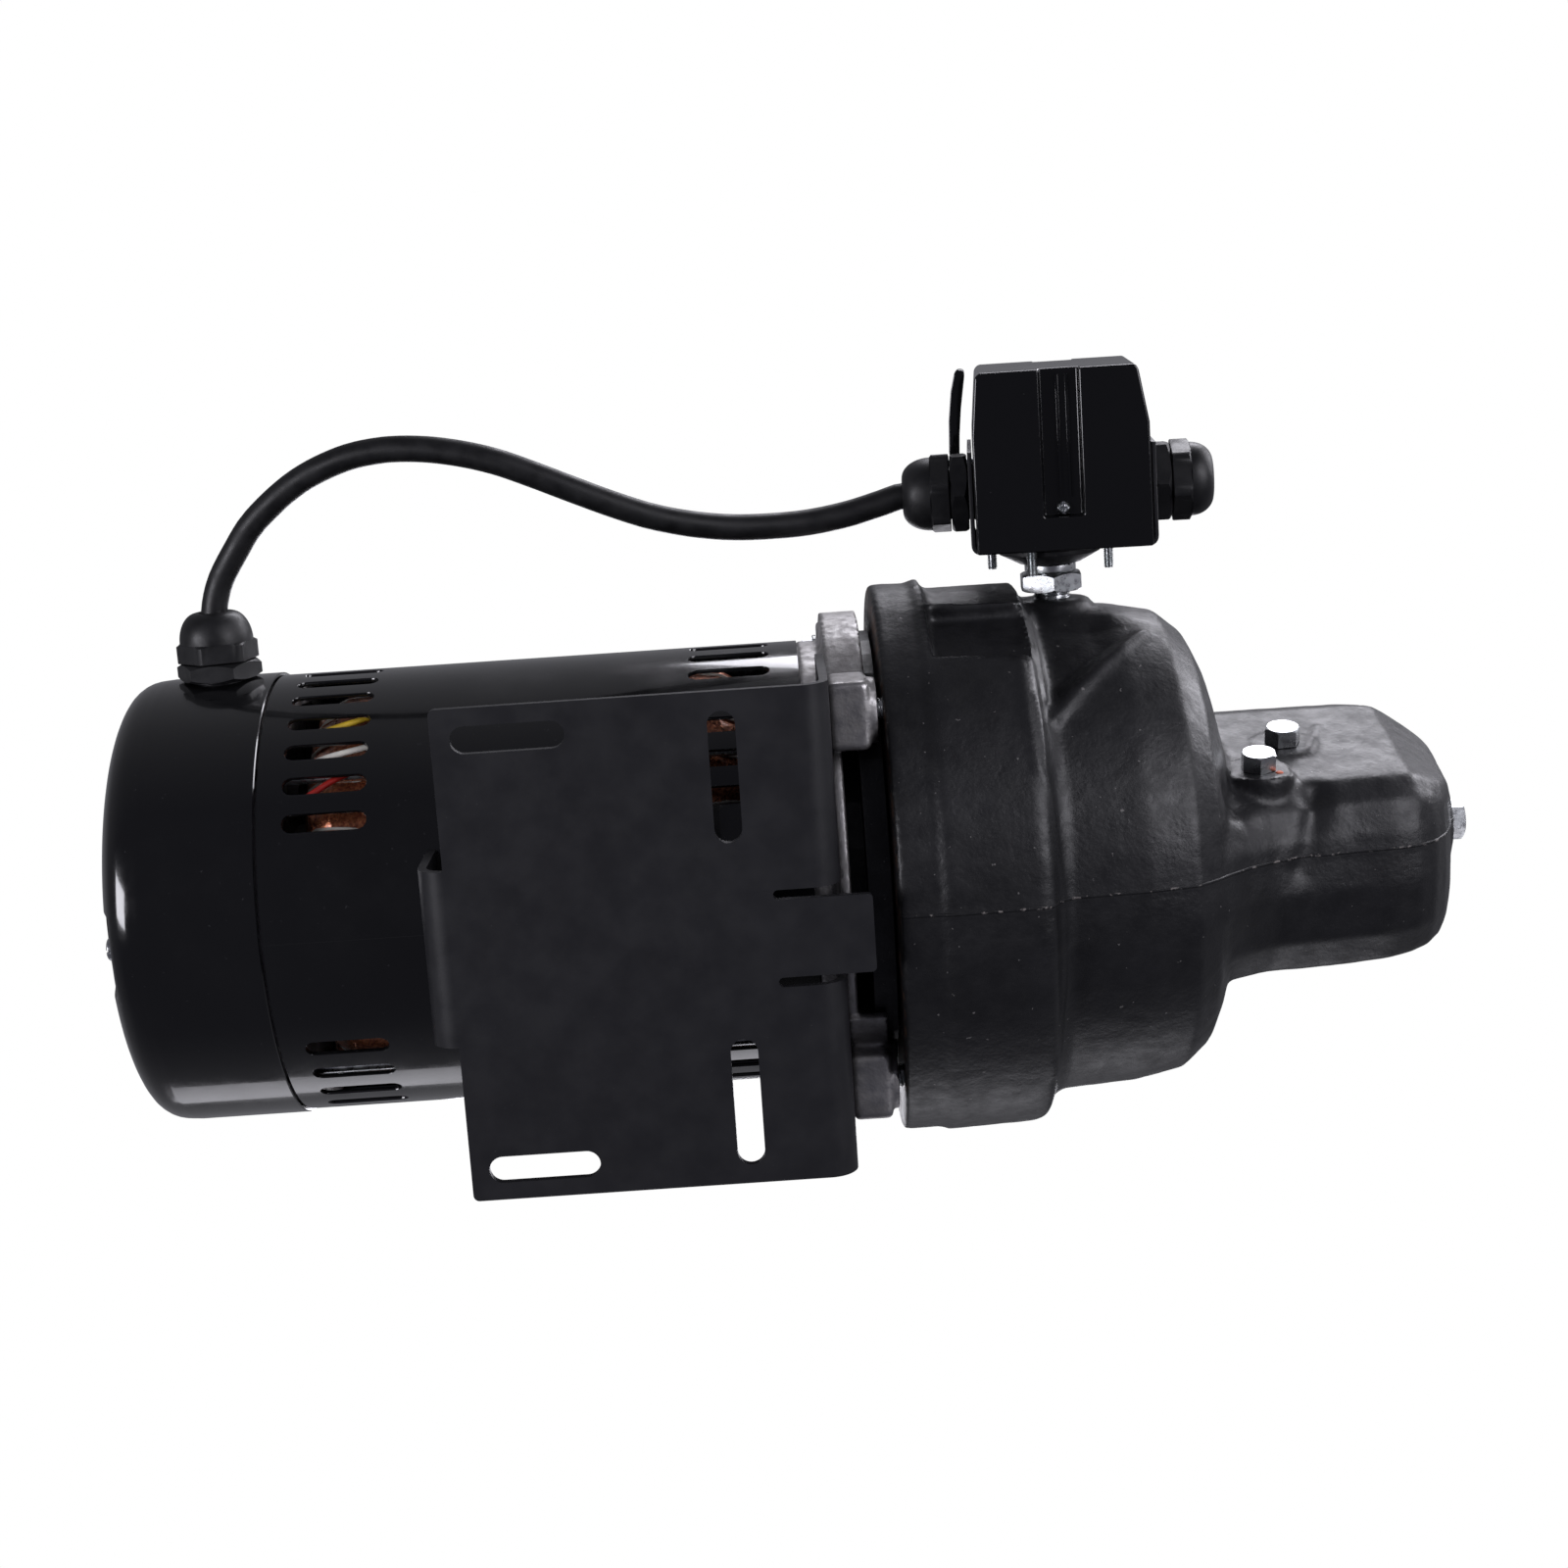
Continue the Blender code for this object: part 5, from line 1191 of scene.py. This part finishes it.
# Raised (+) and sunk (-) lines on the casting: how far, how wide, and where
CAST_LINES = [
    (0.0016, 0.0026, [(0.1779, -0.0772, 0.0813), (0.1674, -0.0729, 0.0678), (0.1518, -0.0636, 0.0533),
                      (0.1422, -0.0563, 0.0440)]),
    (0.0010, 0.0016, [(0.1411, -0.0867, 0.1007), (0.1393, -0.0762, 0.0654), (0.1396, -0.0624, 0.0478)]),
    (0.0008, 0.0016, [(0.1324, -0.0756, 0.0504), (0.1329, -0.0602, 0.0347), (0.1338, -0.0443, 0.0242)]),
    (0.0007, 0.0018, [(0.1363, -0.0649, 0.0401), (0.1363, -0.0425, 0.0241), (0.1391, -0.0137, 0.0208),
                      (0.1396, 0.0129, 0.0214), (0.1384, 0.0412, 0.0267), (0.1370, 0.0632, 0.0368)]),
    (0.0009, 0.0018, [(0.2448, -0.0343, 0.1128), (0.2366, -0.0306, 0.0922), (0.2255, -0.0269, 0.0622)]),
    (-0.0028, 0.0045, [(0.2330, -0.0235, 0.0650), (0.2310, -0.0130, 0.0620), (0.2240, 0.0030, 0.0588)]),
    (-0.0016, 0.0040, [(0.2010, -0.0270, 0.0510), (0.2050, -0.0150, 0.0540), (0.2110, -0.0032, 0.0585)]),
]


def nose_fine():
    """The nose's loft, with rounded corners and smooth stations."""
    stations = smooth_route([Vector((x, 0, 0)) for x, *_ in NOSE_STATIONS], 0.0015)
    known = np.array(NOSE_STATIONS)
    grid = bmesh.new()
    loops = []
    for station in stations:
        x = min(max(station.x, known[0, 0]), known[-1, 0])
        left, right, low, tall, ramp = (float(np.interp(x, known[:, 0], column)) for column in known.T[1:])
        ring = []
        for y, rise in NOSE_SECTION:
            drop = ramp * max(0.0, 1 - ((y - 0.003) / 0.045) ** 2) if rise < 0 else 0.0
            ring.append((y * (left if y < 0 else right), rise * (low if rise < 0 else tall) - drop))
        ring = soften(ring, 0.007, True, 4, 0.0)
        loops.append([grid.verts.new((x, y, AXIS + rise)) for y, rise in ring])
    for low, high in zip(loops, loops[1:]):
        walls(grid, low, high)
    grid.faces.new(loops[0])
    grid.faces.new(loops[-1][::-1])
    return piece("nose", grid)


def along_facet(share, out=0.0):
    """Y and Z of a point on the nose's flat facet, and so far out from it."""
    (y0, z0), (y1, z1) = NOSE_SECTION[:2]
    slope = math.hypot(y1 - y0, z1 - z0)
    normal = ((z1 - z0) / slope, -(y1 - y0) / slope)
    y, z = y0 + (y1 - y0) * share, z0 + (z1 - z0) * share
    return y + normal[0] * out, AXIS + z + normal[1] * out


def facet_turn():
    """The turn that makes +Z point straight out of the facet."""
    (y0, z0), (y1, z1) = NOSE_SECTION[:2]
    return (math.pi / 2 + math.atan2(y1 - y0, -(z1 - z0)), 0.0, 0.0)


def sector(name, start, end, inner, outer, low, high):
    """A tool in the shape of a piece of a ring round the casing's middle, from one angle to another."""
    outline = soften(band(start, end, inner, outer, 24, CASING_MIDDLE), 0.002, True)
    return prism(name, outline, low, high, CASING_MIDDLE, "+X")


def boss(outline, centre, facing="+X", steps=48):
    closed = [(outline[0][0], 0)] + outline + [(outline[-1][0], 0)]
    return lathe("boss", closed, centre, facing, steps, 0.0012)


def line_distance(spots, line):
    """How far each of many points is from a broken line."""
    best = np.full(len(spots), 1e9)
    for start, end in zip(line, line[1:]):
        a, b = np.array(start), np.array(end)
        way = b - a
        share = np.clip(((spots - a) @ way) / (way @ way), 0, 1)
        best = np.minimum(best, np.linalg.norm(spots - a - share[:, None] * way, axis=1))
    return best


def cast_surface(made):
    """Adds the casting's raised lines, sunk places and sand grain to its skin."""
    mesh = made.data
    count = len(mesh.vertices)
    spots = np.zeros(count * 3)
    mesh.vertices.foreach_get("co", spots)
    spots = spots.reshape(-1, 3)
    normals = np.zeros(count * 3, np.float32)
    mesh.vertex_normals.foreach_get("vector", normals)
    normals = normals.reshape(-1, 3).astype(float)
    x, y, z = spots.T
    push = np.zeros(count)
    for height, width, line in CAST_LINES:
        push += height * np.exp(-((line_distance(spots, line) / width) ** 2))
    # The sunk triangle between the shoulder, the step and the slanting ridge
    angle = np.degrees(np.arctan2(-(y - CASING_SHIFT), -(z - AXIS)))
    (first_x, first_angle), (last_x, last_angle) = RIDGE_ENDS
    ridge = first_angle + (x - first_x) / (last_x - first_x) * (last_angle - first_angle)
    inside = np.clip((angle - ridge - 1.5) / 5, 0, 1)
    inside = inside * np.clip((x - 0.1400) / 0.004, 0, 1) * np.clip((80 - angle) / 6, 0, 1)
    radius = np.hypot(y - CASING_SHIFT, z - AXIS)
    inside *= (x < 0.185) & (radius > 0.07) & (radius < 0.0925)
    push -= SUNK_DEPTH * inside * np.clip((0.182 - x) / 0.02, 0, 1)
    cut = 0.0012
    machined = (x < CASING_REAR + cut) | (x > SUCTION_FACE - cut) | (z > AXIS + DISCHARGE_TOP - cut)
    parting = np.exp(-(((y - PARTING_Y) / 0.0011) ** 2)) * (x > 0.088)
    coarse = np.array([noise.noise(Vector(spot) * 170) for spot in spots])
    fine = np.array([noise.noise(Vector(spot) * 420 + Vector((7, 3, 5))) for spot in spots])
    push += np.where(machined, 0.0, 0.00012 * coarse + 0.00005 * fine + PARTING_HEIGHT * parting)
    moved = spots + normals * push[:, None]
    mesh.vertices.foreach_set("co", moved.ravel())
    mesh.update()


def casing():
    """The casting: turned drum, nose and bosses under one skin, with its ports bored afterwards."""
    drum = lathe("drum", CASING_OUTSIDE, CASING_MIDDLE, steps=200, round_off=0.002)
    carved(drum, sector("rail", 73.5, 130, 0.0953, 0.108, 0.1042, 0.1400))
    carved(drum, sector("pocket", 55, 72.5, 0.0920, 0.108, 0.1042, 0.1375))
    parts = [
        drum,
        nose_fine(),
        rod("suction_boss", 0.2600, SUCTION_FACE, 0.0255, centre=SUCTION_AT, steps=96, round_off=0.0012),
        boss([(-0.0230, 0.0150), (-0.0015, 0.0145), (0.0, 0.0132)], CLEAN_OUT_AT),
        boss([(0.0500, 0.0270), (0.0860, 0.0245), (0.0950, 0.0240), (DISCHARGE_TOP, 0.0240)],
             DISCHARGE_AT, "+Z", 96),
        boss([(-0.0200, 0.0190), (-0.0040, 0.0170), (0.0, 0.0165)], PRIMING_AT, "+Z"),
        boss([(0.0700, 0.0160), (0.0850, 0.0145), (0.0880, 0.0130)], SWITCH_AT, "-Y"),
    ]
    for x, share, rise in FACET_PLUGS.values():
        y, z = along_facet(share)
        parts.append(boss([(-0.016, 0.0115), (rise + PLUG_SEAT, 0.0115)], (x, y, z), facet_turn()))
    # The last plug is the priming port's, and its boss leans on a second one
    parts.append(boss([(-0.0420, 0.0030), (-0.0200, 0.0105), (rise, 0.0120)], (x, y, z - 0.0020), "-Y"))
    body = fused(parts, 0.0014, 4)
    cast_surface(body)
    carved(body, rod("suction", 0.2500, 0.3000, SUCTION_BORE, centre=SUCTION_AT, steps=96))
    discharge = rod("discharge", 0.0700, 0.1200, DISCHARGE_BORE, centre=DISCHARGE_AT, facing="+Z", steps=96)
    carved(body, discharge)
    chamber = box("chamber", (0.2080, -0.0240, AXIS - 0.0260), (0.2620, 0.0370, AXIS + 0.0490), 0.004)
    carved(body, chamber)
    smooth(body, 40.0)
    shown(body, "casing")


def plug(node, name, head, thread, head_high, thread_long, centre, facing, phase=0.0):
    """A pipe plug with a hexagon head, in its boss."""
    top = hexagon("top", head, 0.0003, head_high, centre, facing, crowns=(False, True), phase=phase)
    shank = screw("shank", -thread_long, 0.0005, thread, 0.0014, centre, facing)
    made = joined([top, shank])
    made.name = name
    shown(made, node)


def casing_plugs():
    for index, (node, (x, share, rise)) in enumerate(FACET_PLUGS.items()):
        at = (x, *along_facet(share, rise + PLUG_SEAT))
        name, phase = f"facet_plug_{index + 1}", 0.1 + 0.35 * index
        plug(node, name, 0.0064, 0.0047, 0.0062, 0.0100, at, facet_turn(), phase)
    # A bead of sealant beside the last plug, the priming port's
    bead = [(-0.0004, 0.0), (0.0, 0.0016), (0.0006, 0.0011), (0.0008, 0.0)]
    at = (x + 0.0062, *along_facet(share + 0.085, rise + PLUG_SEAT))
    shown(lathe("sealant_bead", bead, at, facet_turn(), 24), slot="fan_plastic", coat=SEALANT)
    plug("clean_out_plug", "clean_out_hex", 0.0075, 0.0064, 0.0058, 0.0080, CLEAN_OUT_AT, "+X", 0.25)
    plug("priming_plug", "priming_hex", 0.0125, 0.0096, 0.0080, 0.0130, PRIMING_AT, "+Z", 0.2)


# ---- The pressure switch ----


def switch_stem():
    """The nipple with its collar and nut, and the flange that the switch stands on."""
    where = {"centre": SWITCH_AT, "facing": "-Y"}
    nipple = screw("nipple_thread", 0.0760, 0.1010, 0.0066, 0.0013, bore=0.0035, steps=40, **where)
    shown(nipple, "switch_nipple")
    hole = STEM_HOLE
    collar = [(0.0977, hole), (0.0977, 0.0086), (0.0981, 0.0090),
              (0.1002, 0.0090), (0.1006, 0.0086), (0.1006, hole)]
    shown(lathe("nipple_shoulder", collar, round_off=0.0003, steps=64, **where), "nipple_collar")
    nut = hexagon("coupler_hex", 0.0118, 0.0909, 0.0973, bore=hole, crowns=(True, True), phase=0.5, **where)
    shown(nut, "coupler_nut")
    tub = [(0.1009, hole), (0.1009, 0.0110), (0.1045, 0.0178), (0.1063, 0.0178), (0.1063, hole)]
    shown(lathe("diaphragm_tub", tub, round_off=0.0003, steps=96, **where), "diaphragm_flange")


def gland_tools(radius):
    middle = ((COVER_LOW + COVER_HIGH) / 2, SWITCH_GLAND_Y, AXIS)
    return [rod("gland_hole", 0.02, 0.08, radius, centre=middle, facing=facing, steps=48)
            for facing in ("-X", "+X")]


def lever_tool():
    return rod("lever_hole", -0.01, 0.01, 0.0026, centre=(COVER_LOW, *LEVER_AT[1:]), steps=24)


def switch_frame():
    """The switch's steel channel, with its range stud, the arm's pin and ears, and the four screws."""
    x, _, z = SWITCH_AT
    depth = COVER_HALF_DEPTH - 0.0030
    half = FRAME_SHEET / 2
    low, high, bottom = COVER_LOW - 0.0019 + half, COVER_HIGH + 0.0019 - half, FRAME_FLOOR - half
    line = soften([(low, FRAME_TOP), (low, bottom), (high, bottom), (high, FRAME_TOP)], 0.0030, steps=6)
    outer, inner = [], []
    for index, spot in enumerate(line):
        before, after = line[max(0, index - 1)], line[min(len(line) - 1, index + 1)]
        way = Vector((after[0] - before[0], after[1] - before[1])).normalized() * half
        outer.append((spot[0] - way.y, spot[1] + way.x))
        inner.append((spot[0] + way.y, spot[1] - way.x))
    made = prism("channel", outer + inner[::-1], z - depth, z + depth, bevel=0.0002)
    carved(made, rod("plunger_hole", 0.09, 0.11, 0.0062, centre=SWITCH_AT, facing="-Y"))
    for tool in gland_tools(0.0112):
        carved(made, tool)
    carved(made, lever_tool())
    stud = screw("stud", 0.1085, 0.1580, 0.0030, 0.0010, RANGE_STUD_AT, "-Y", steps=24)
    foot = rod("foot", 0.1085, 0.1110, 0.0060, centre=RANGE_STUD_AT, facing="-Y", steps=32)
    pin_x, pin_y = ARM_PIN
    pin = rod("pin", -0.0150, 0.0150, 0.0012, centre=(pin_x, pin_y, z), facing="+Z", steps=20)
    parts = [made, stud, foot, pin]
    for way in (-1, 1):
        near, far = sorted((z + way * 0.0125, z + way * 0.0140))
        corner = (pin_x - 0.0035, pin_y - 0.0025, near)
        parts.append(box("ear", corner, (pin_x + 0.0035, -0.1085, far), 0.0004))
    made = joined(parts)
    made.name = "switch_channel"
    shown(made, "switch_frame")
    for index, (side, rise) in enumerate(FRAME_SCREWS):
        spot = (x + side, 0, z + rise)
        made = screw(f"frame_screw_{index + 1}", 0.0985, 0.1086, 0.0018, 0.0007, spot, "-Y", steps=20)
        shown(made, slot="zinc_plate")


def cover_side():
    """The cover's outline, seen from above the pump."""
    return [
        (COVER_LOW, COVER_MOUTH),
        (COVER_LOW, -0.1480),
        (COVER_LOW + 0.0018, COVER_TOP + 0.0015),
        (COVER_LOW + 0.0033, COVER_TOP),
        (COVER_HIGH - 0.0044, COVER_TOP),
        (COVER_HIGH - 0.0032, COVER_TOP + 0.0012),
        (COVER_HIGH, -0.1500),
        (COVER_HIGH, COVER_MOUTH),
    ]


def switch_cover():
    """The moulded cover: a hollow box with a channel down each broad side, and ribs and a screw in them."""
    deep, wall = COVER_HALF_DEPTH, 0.0020
    z = AXIS
    cover = prism("moulded_cover", cover_side()[::-1], z - deep, z + deep)
    left, right = CHANNEL
    for way in (-1, 1):
        near, far = sorted((z + way * (deep + 0.01), z + way * (deep - CHANNEL_DEPTH)))
        carved(cover, box("channel", (left, COVER_TOP - 0.01, near), (right, CHANNEL_END, far)))
    bevelled(cover, 0.0011, 3, 25.0, 30.0)
    hollow = [
        (COVER_LOW + wall, COVER_MOUTH + 0.01),
        (COVER_LOW + wall, -0.1480),
        (COVER_LOW + 0.0018 + wall, COVER_TOP + wall),
        (COVER_HIGH - 0.0034 - wall, COVER_TOP + wall),
        (COVER_HIGH - wall, -0.1500),
        (COVER_HIGH - wall, COVER_MOUTH + 0.01),
    ]
    inside = prism("inside", hollow[::-1], z - deep + wall, z + deep - wall)
    for way in (-1, 1):
        near, far = sorted((z + way * (deep + 0.01), z + way * (deep - CHANNEL_DEPTH - wall)))
        liner = box("liner", (left - wall, COVER_TOP - 0.01, near), (right + wall, CHANNEL_END + wall, far))
        carved(inside, liner)
    carved(cover, inside)
    # The side walls stop above the floor of the switch's body
    depth, sill = deep - 0.0027, FRAME_FLOOR - 2 * FRAME_SHEET
    carved(cover, box("sill", (COVER_LOW - 0.01, sill, z - depth), (COVER_HIGH + 0.01, -0.09, z + depth)))
    for tool in gland_tools(0.0118):
        carved(cover, tool)
    carved(cover, lever_tool())
    smooth(cover, 30.0)
    shown(cover, "switch_cover")
    middle = (left + right) / 2
    for way in (-1, 1):
        floor_z = z + way * (deep - CHANNEL_DEPTH)
        for letter, x in (("a", middle - 0.0006), ("b", middle + 0.0026)):
            near, far = sorted((floor_z - way * 0.0002, floor_z + way * 0.0009))
            corner = (x - 0.0005, COVER_TOP + 0.0022, near)
            rib = box("rib", corner, (x + 0.0005, CHANNEL_END - 0.0062, far), 0.0002)
            rib.name = f"channel_rib_{'low' if way < 0 else 'high'}_{letter}"
            shown(rib, slot="cover_plastic")
    at = (middle, CHANNEL_END - 0.0026, z - deep + CHANNEL_DEPTH)
    outline = [(-0.0003, 0), (-0.0003, 0.0023), (-0.0014, 0.0023), (-0.0022, 0.0014), (-0.0022, 0)]
    head = lathe("channel_screw", outline, at, "+Z", 40)
    x, y, z = at
    for half_x, half_y in ((0.0016, 0.0003), (0.0003, 0.0016)):
        corner = (x - half_x, y - half_y, z - 0.003)
        carved(head, box("recess", corner, (x + half_x, y + half_y, z - 0.0012)))
    shown(head, "cover_screw")


def switch_lever():
    """The AUTO/OFF lever beside the cover, and the rivet that it turns on."""
    pin = rod("pin", 0.1166, 0.1300, 0.0020, centre=LEVER_AT, steps=32)
    outline = [(0.1158, 0), (0.1158, 0.0026), (0.1162, 0.0034), (0.1168, 0.0034), (0.1168, 0)]
    cap = lathe("cap", outline, LEVER_AT, steps=36)
    made = joined([pin, cap])
    made.name = "lever_rivet"
    shown(made, "lever_pin")
    blade = [(0.1205, 0.0050), (0.1180, 0.0050), (0.1172, -0.0050), (0.1176, -0.0160), (0.1188, -0.0260),
             (0.1204, -0.0325), (0.1216, -0.0338), (0.1238, -0.0335), (0.1240, -0.0315), (0.1222, -0.0200),
             (0.1212, -0.0100)]
    lever = prism("lever_blade", soften(blade, 0.006, True, 5), -0.0045, 0.0045, LEVER_AT, bevel=0.0004)
    carved(lever, rod("lever_bore", 0.11, 0.13, 0.0023, centre=LEVER_AT, steps=32))
    shown(lever, "switch_lever")


def gland(node, centre, facing, dome):
    """A cable gland: a threaded hexagon body, and a hexagon nut with a dome of the given height."""
    where = {"centre": centre, "facing": facing}
    bore = CORD_RADIUS + 0.0006
    flange = hexagon("flange", GLAND_HEX, 0.0, 0.0060, bore=bore, crowns=(True, True), **where)
    neck = screw("neck", 0.0055, 0.0105, 0.0098, 0.0015, bore=bore, steps=48, **where)
    thread = screw("thread", -0.0080, 0.0004, 0.0105, 0.0015, bore=bore, steps=48, **where)
    body = joined([flange, neck, thread])
    body.name = f"{node}_hex"
    shown(body, f"{node}_body")

    def hexed(along, share=1.0, most=1.0):
        return lambda angle: (along, min(most, share * hex_radius(angle - 0.3, GLAND_HEX - 0.0006)))

    rows = [level(0.0064, 0.0101), hexed(0.0064, 0.985), hexed(0.0067), hexed(0.0124),
            hexed(0.0130, most=0.0131)]
    for step in range(13):
        turn = math.pi / 2 * step / 13
        rows.append(level(0.0131 + (dome - 0.0006) * math.sin(turn), 0.0062 + 0.0066 * math.cos(turn)))
    top = 0.0125 + dome
    rows += [level(top, 0.0066), level(top, bore), level(0.0110, bore), level(0.0110, 0.0101)]
    shown(rings(f"{node}_dome", rows, 96, sharp=28.0, **where), f"{node}_nut")


def power_cord():
    """The cord between the motor's gland and the switch's."""
    flex = wire("flex", CORD_ROUTE, CORD_RADIUS, 0.0030, 8)
    flex.data.materials.append(COATS["cord_rubber"])
    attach(flex, BODY["power_cord"])
    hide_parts("power_cord")
    path = smooth_route(CORD_ROUTE, 0.0030)
    length = sum((b - a).length for a, b in zip(path, path[1:]))


def pressure_switch():
    """Draws the switch square to the shaft, then turns it a little round its stem, with its glands."""
    known = set(bpy.data.objects.keys())
    switch_frame()
    switch_cover()
    switch_lever()
    gland("cord_gland", (COVER_LOW - 0.0023, SWITCH_GLAND_Y, AXIS), "-X", 0.0105)
    gland("spare_gland", (COVER_HIGH + 0.0023, SWITCH_GLAND_Y, AXIS), "+X", 0.0084)
    stem = Matrix.Translation(SWITCH_AT)
    turn = stem @ Matrix.Rotation(SWITCH_TURN, 4, "Y") @ stem.inverted()
    for made in bpy.data.objects:
        if made.name not in known:
            made.data.transform(turn)
            made.data.update()


for node, made in frame["nodes"].items():
    made.data.materials.clear()
    made.data.materials.append(COATS[SLOT[node]])

power_cord()
motor_shell()
rear_end_cap()
motor_inside()
front_bracket()
casing_bolts()
base_bracket()
casing()
casing_plugs()
switch_stem()
gland("motor_gland", MOTOR_GLAND_AT, "-Y", 0.0110)
pressure_switch()
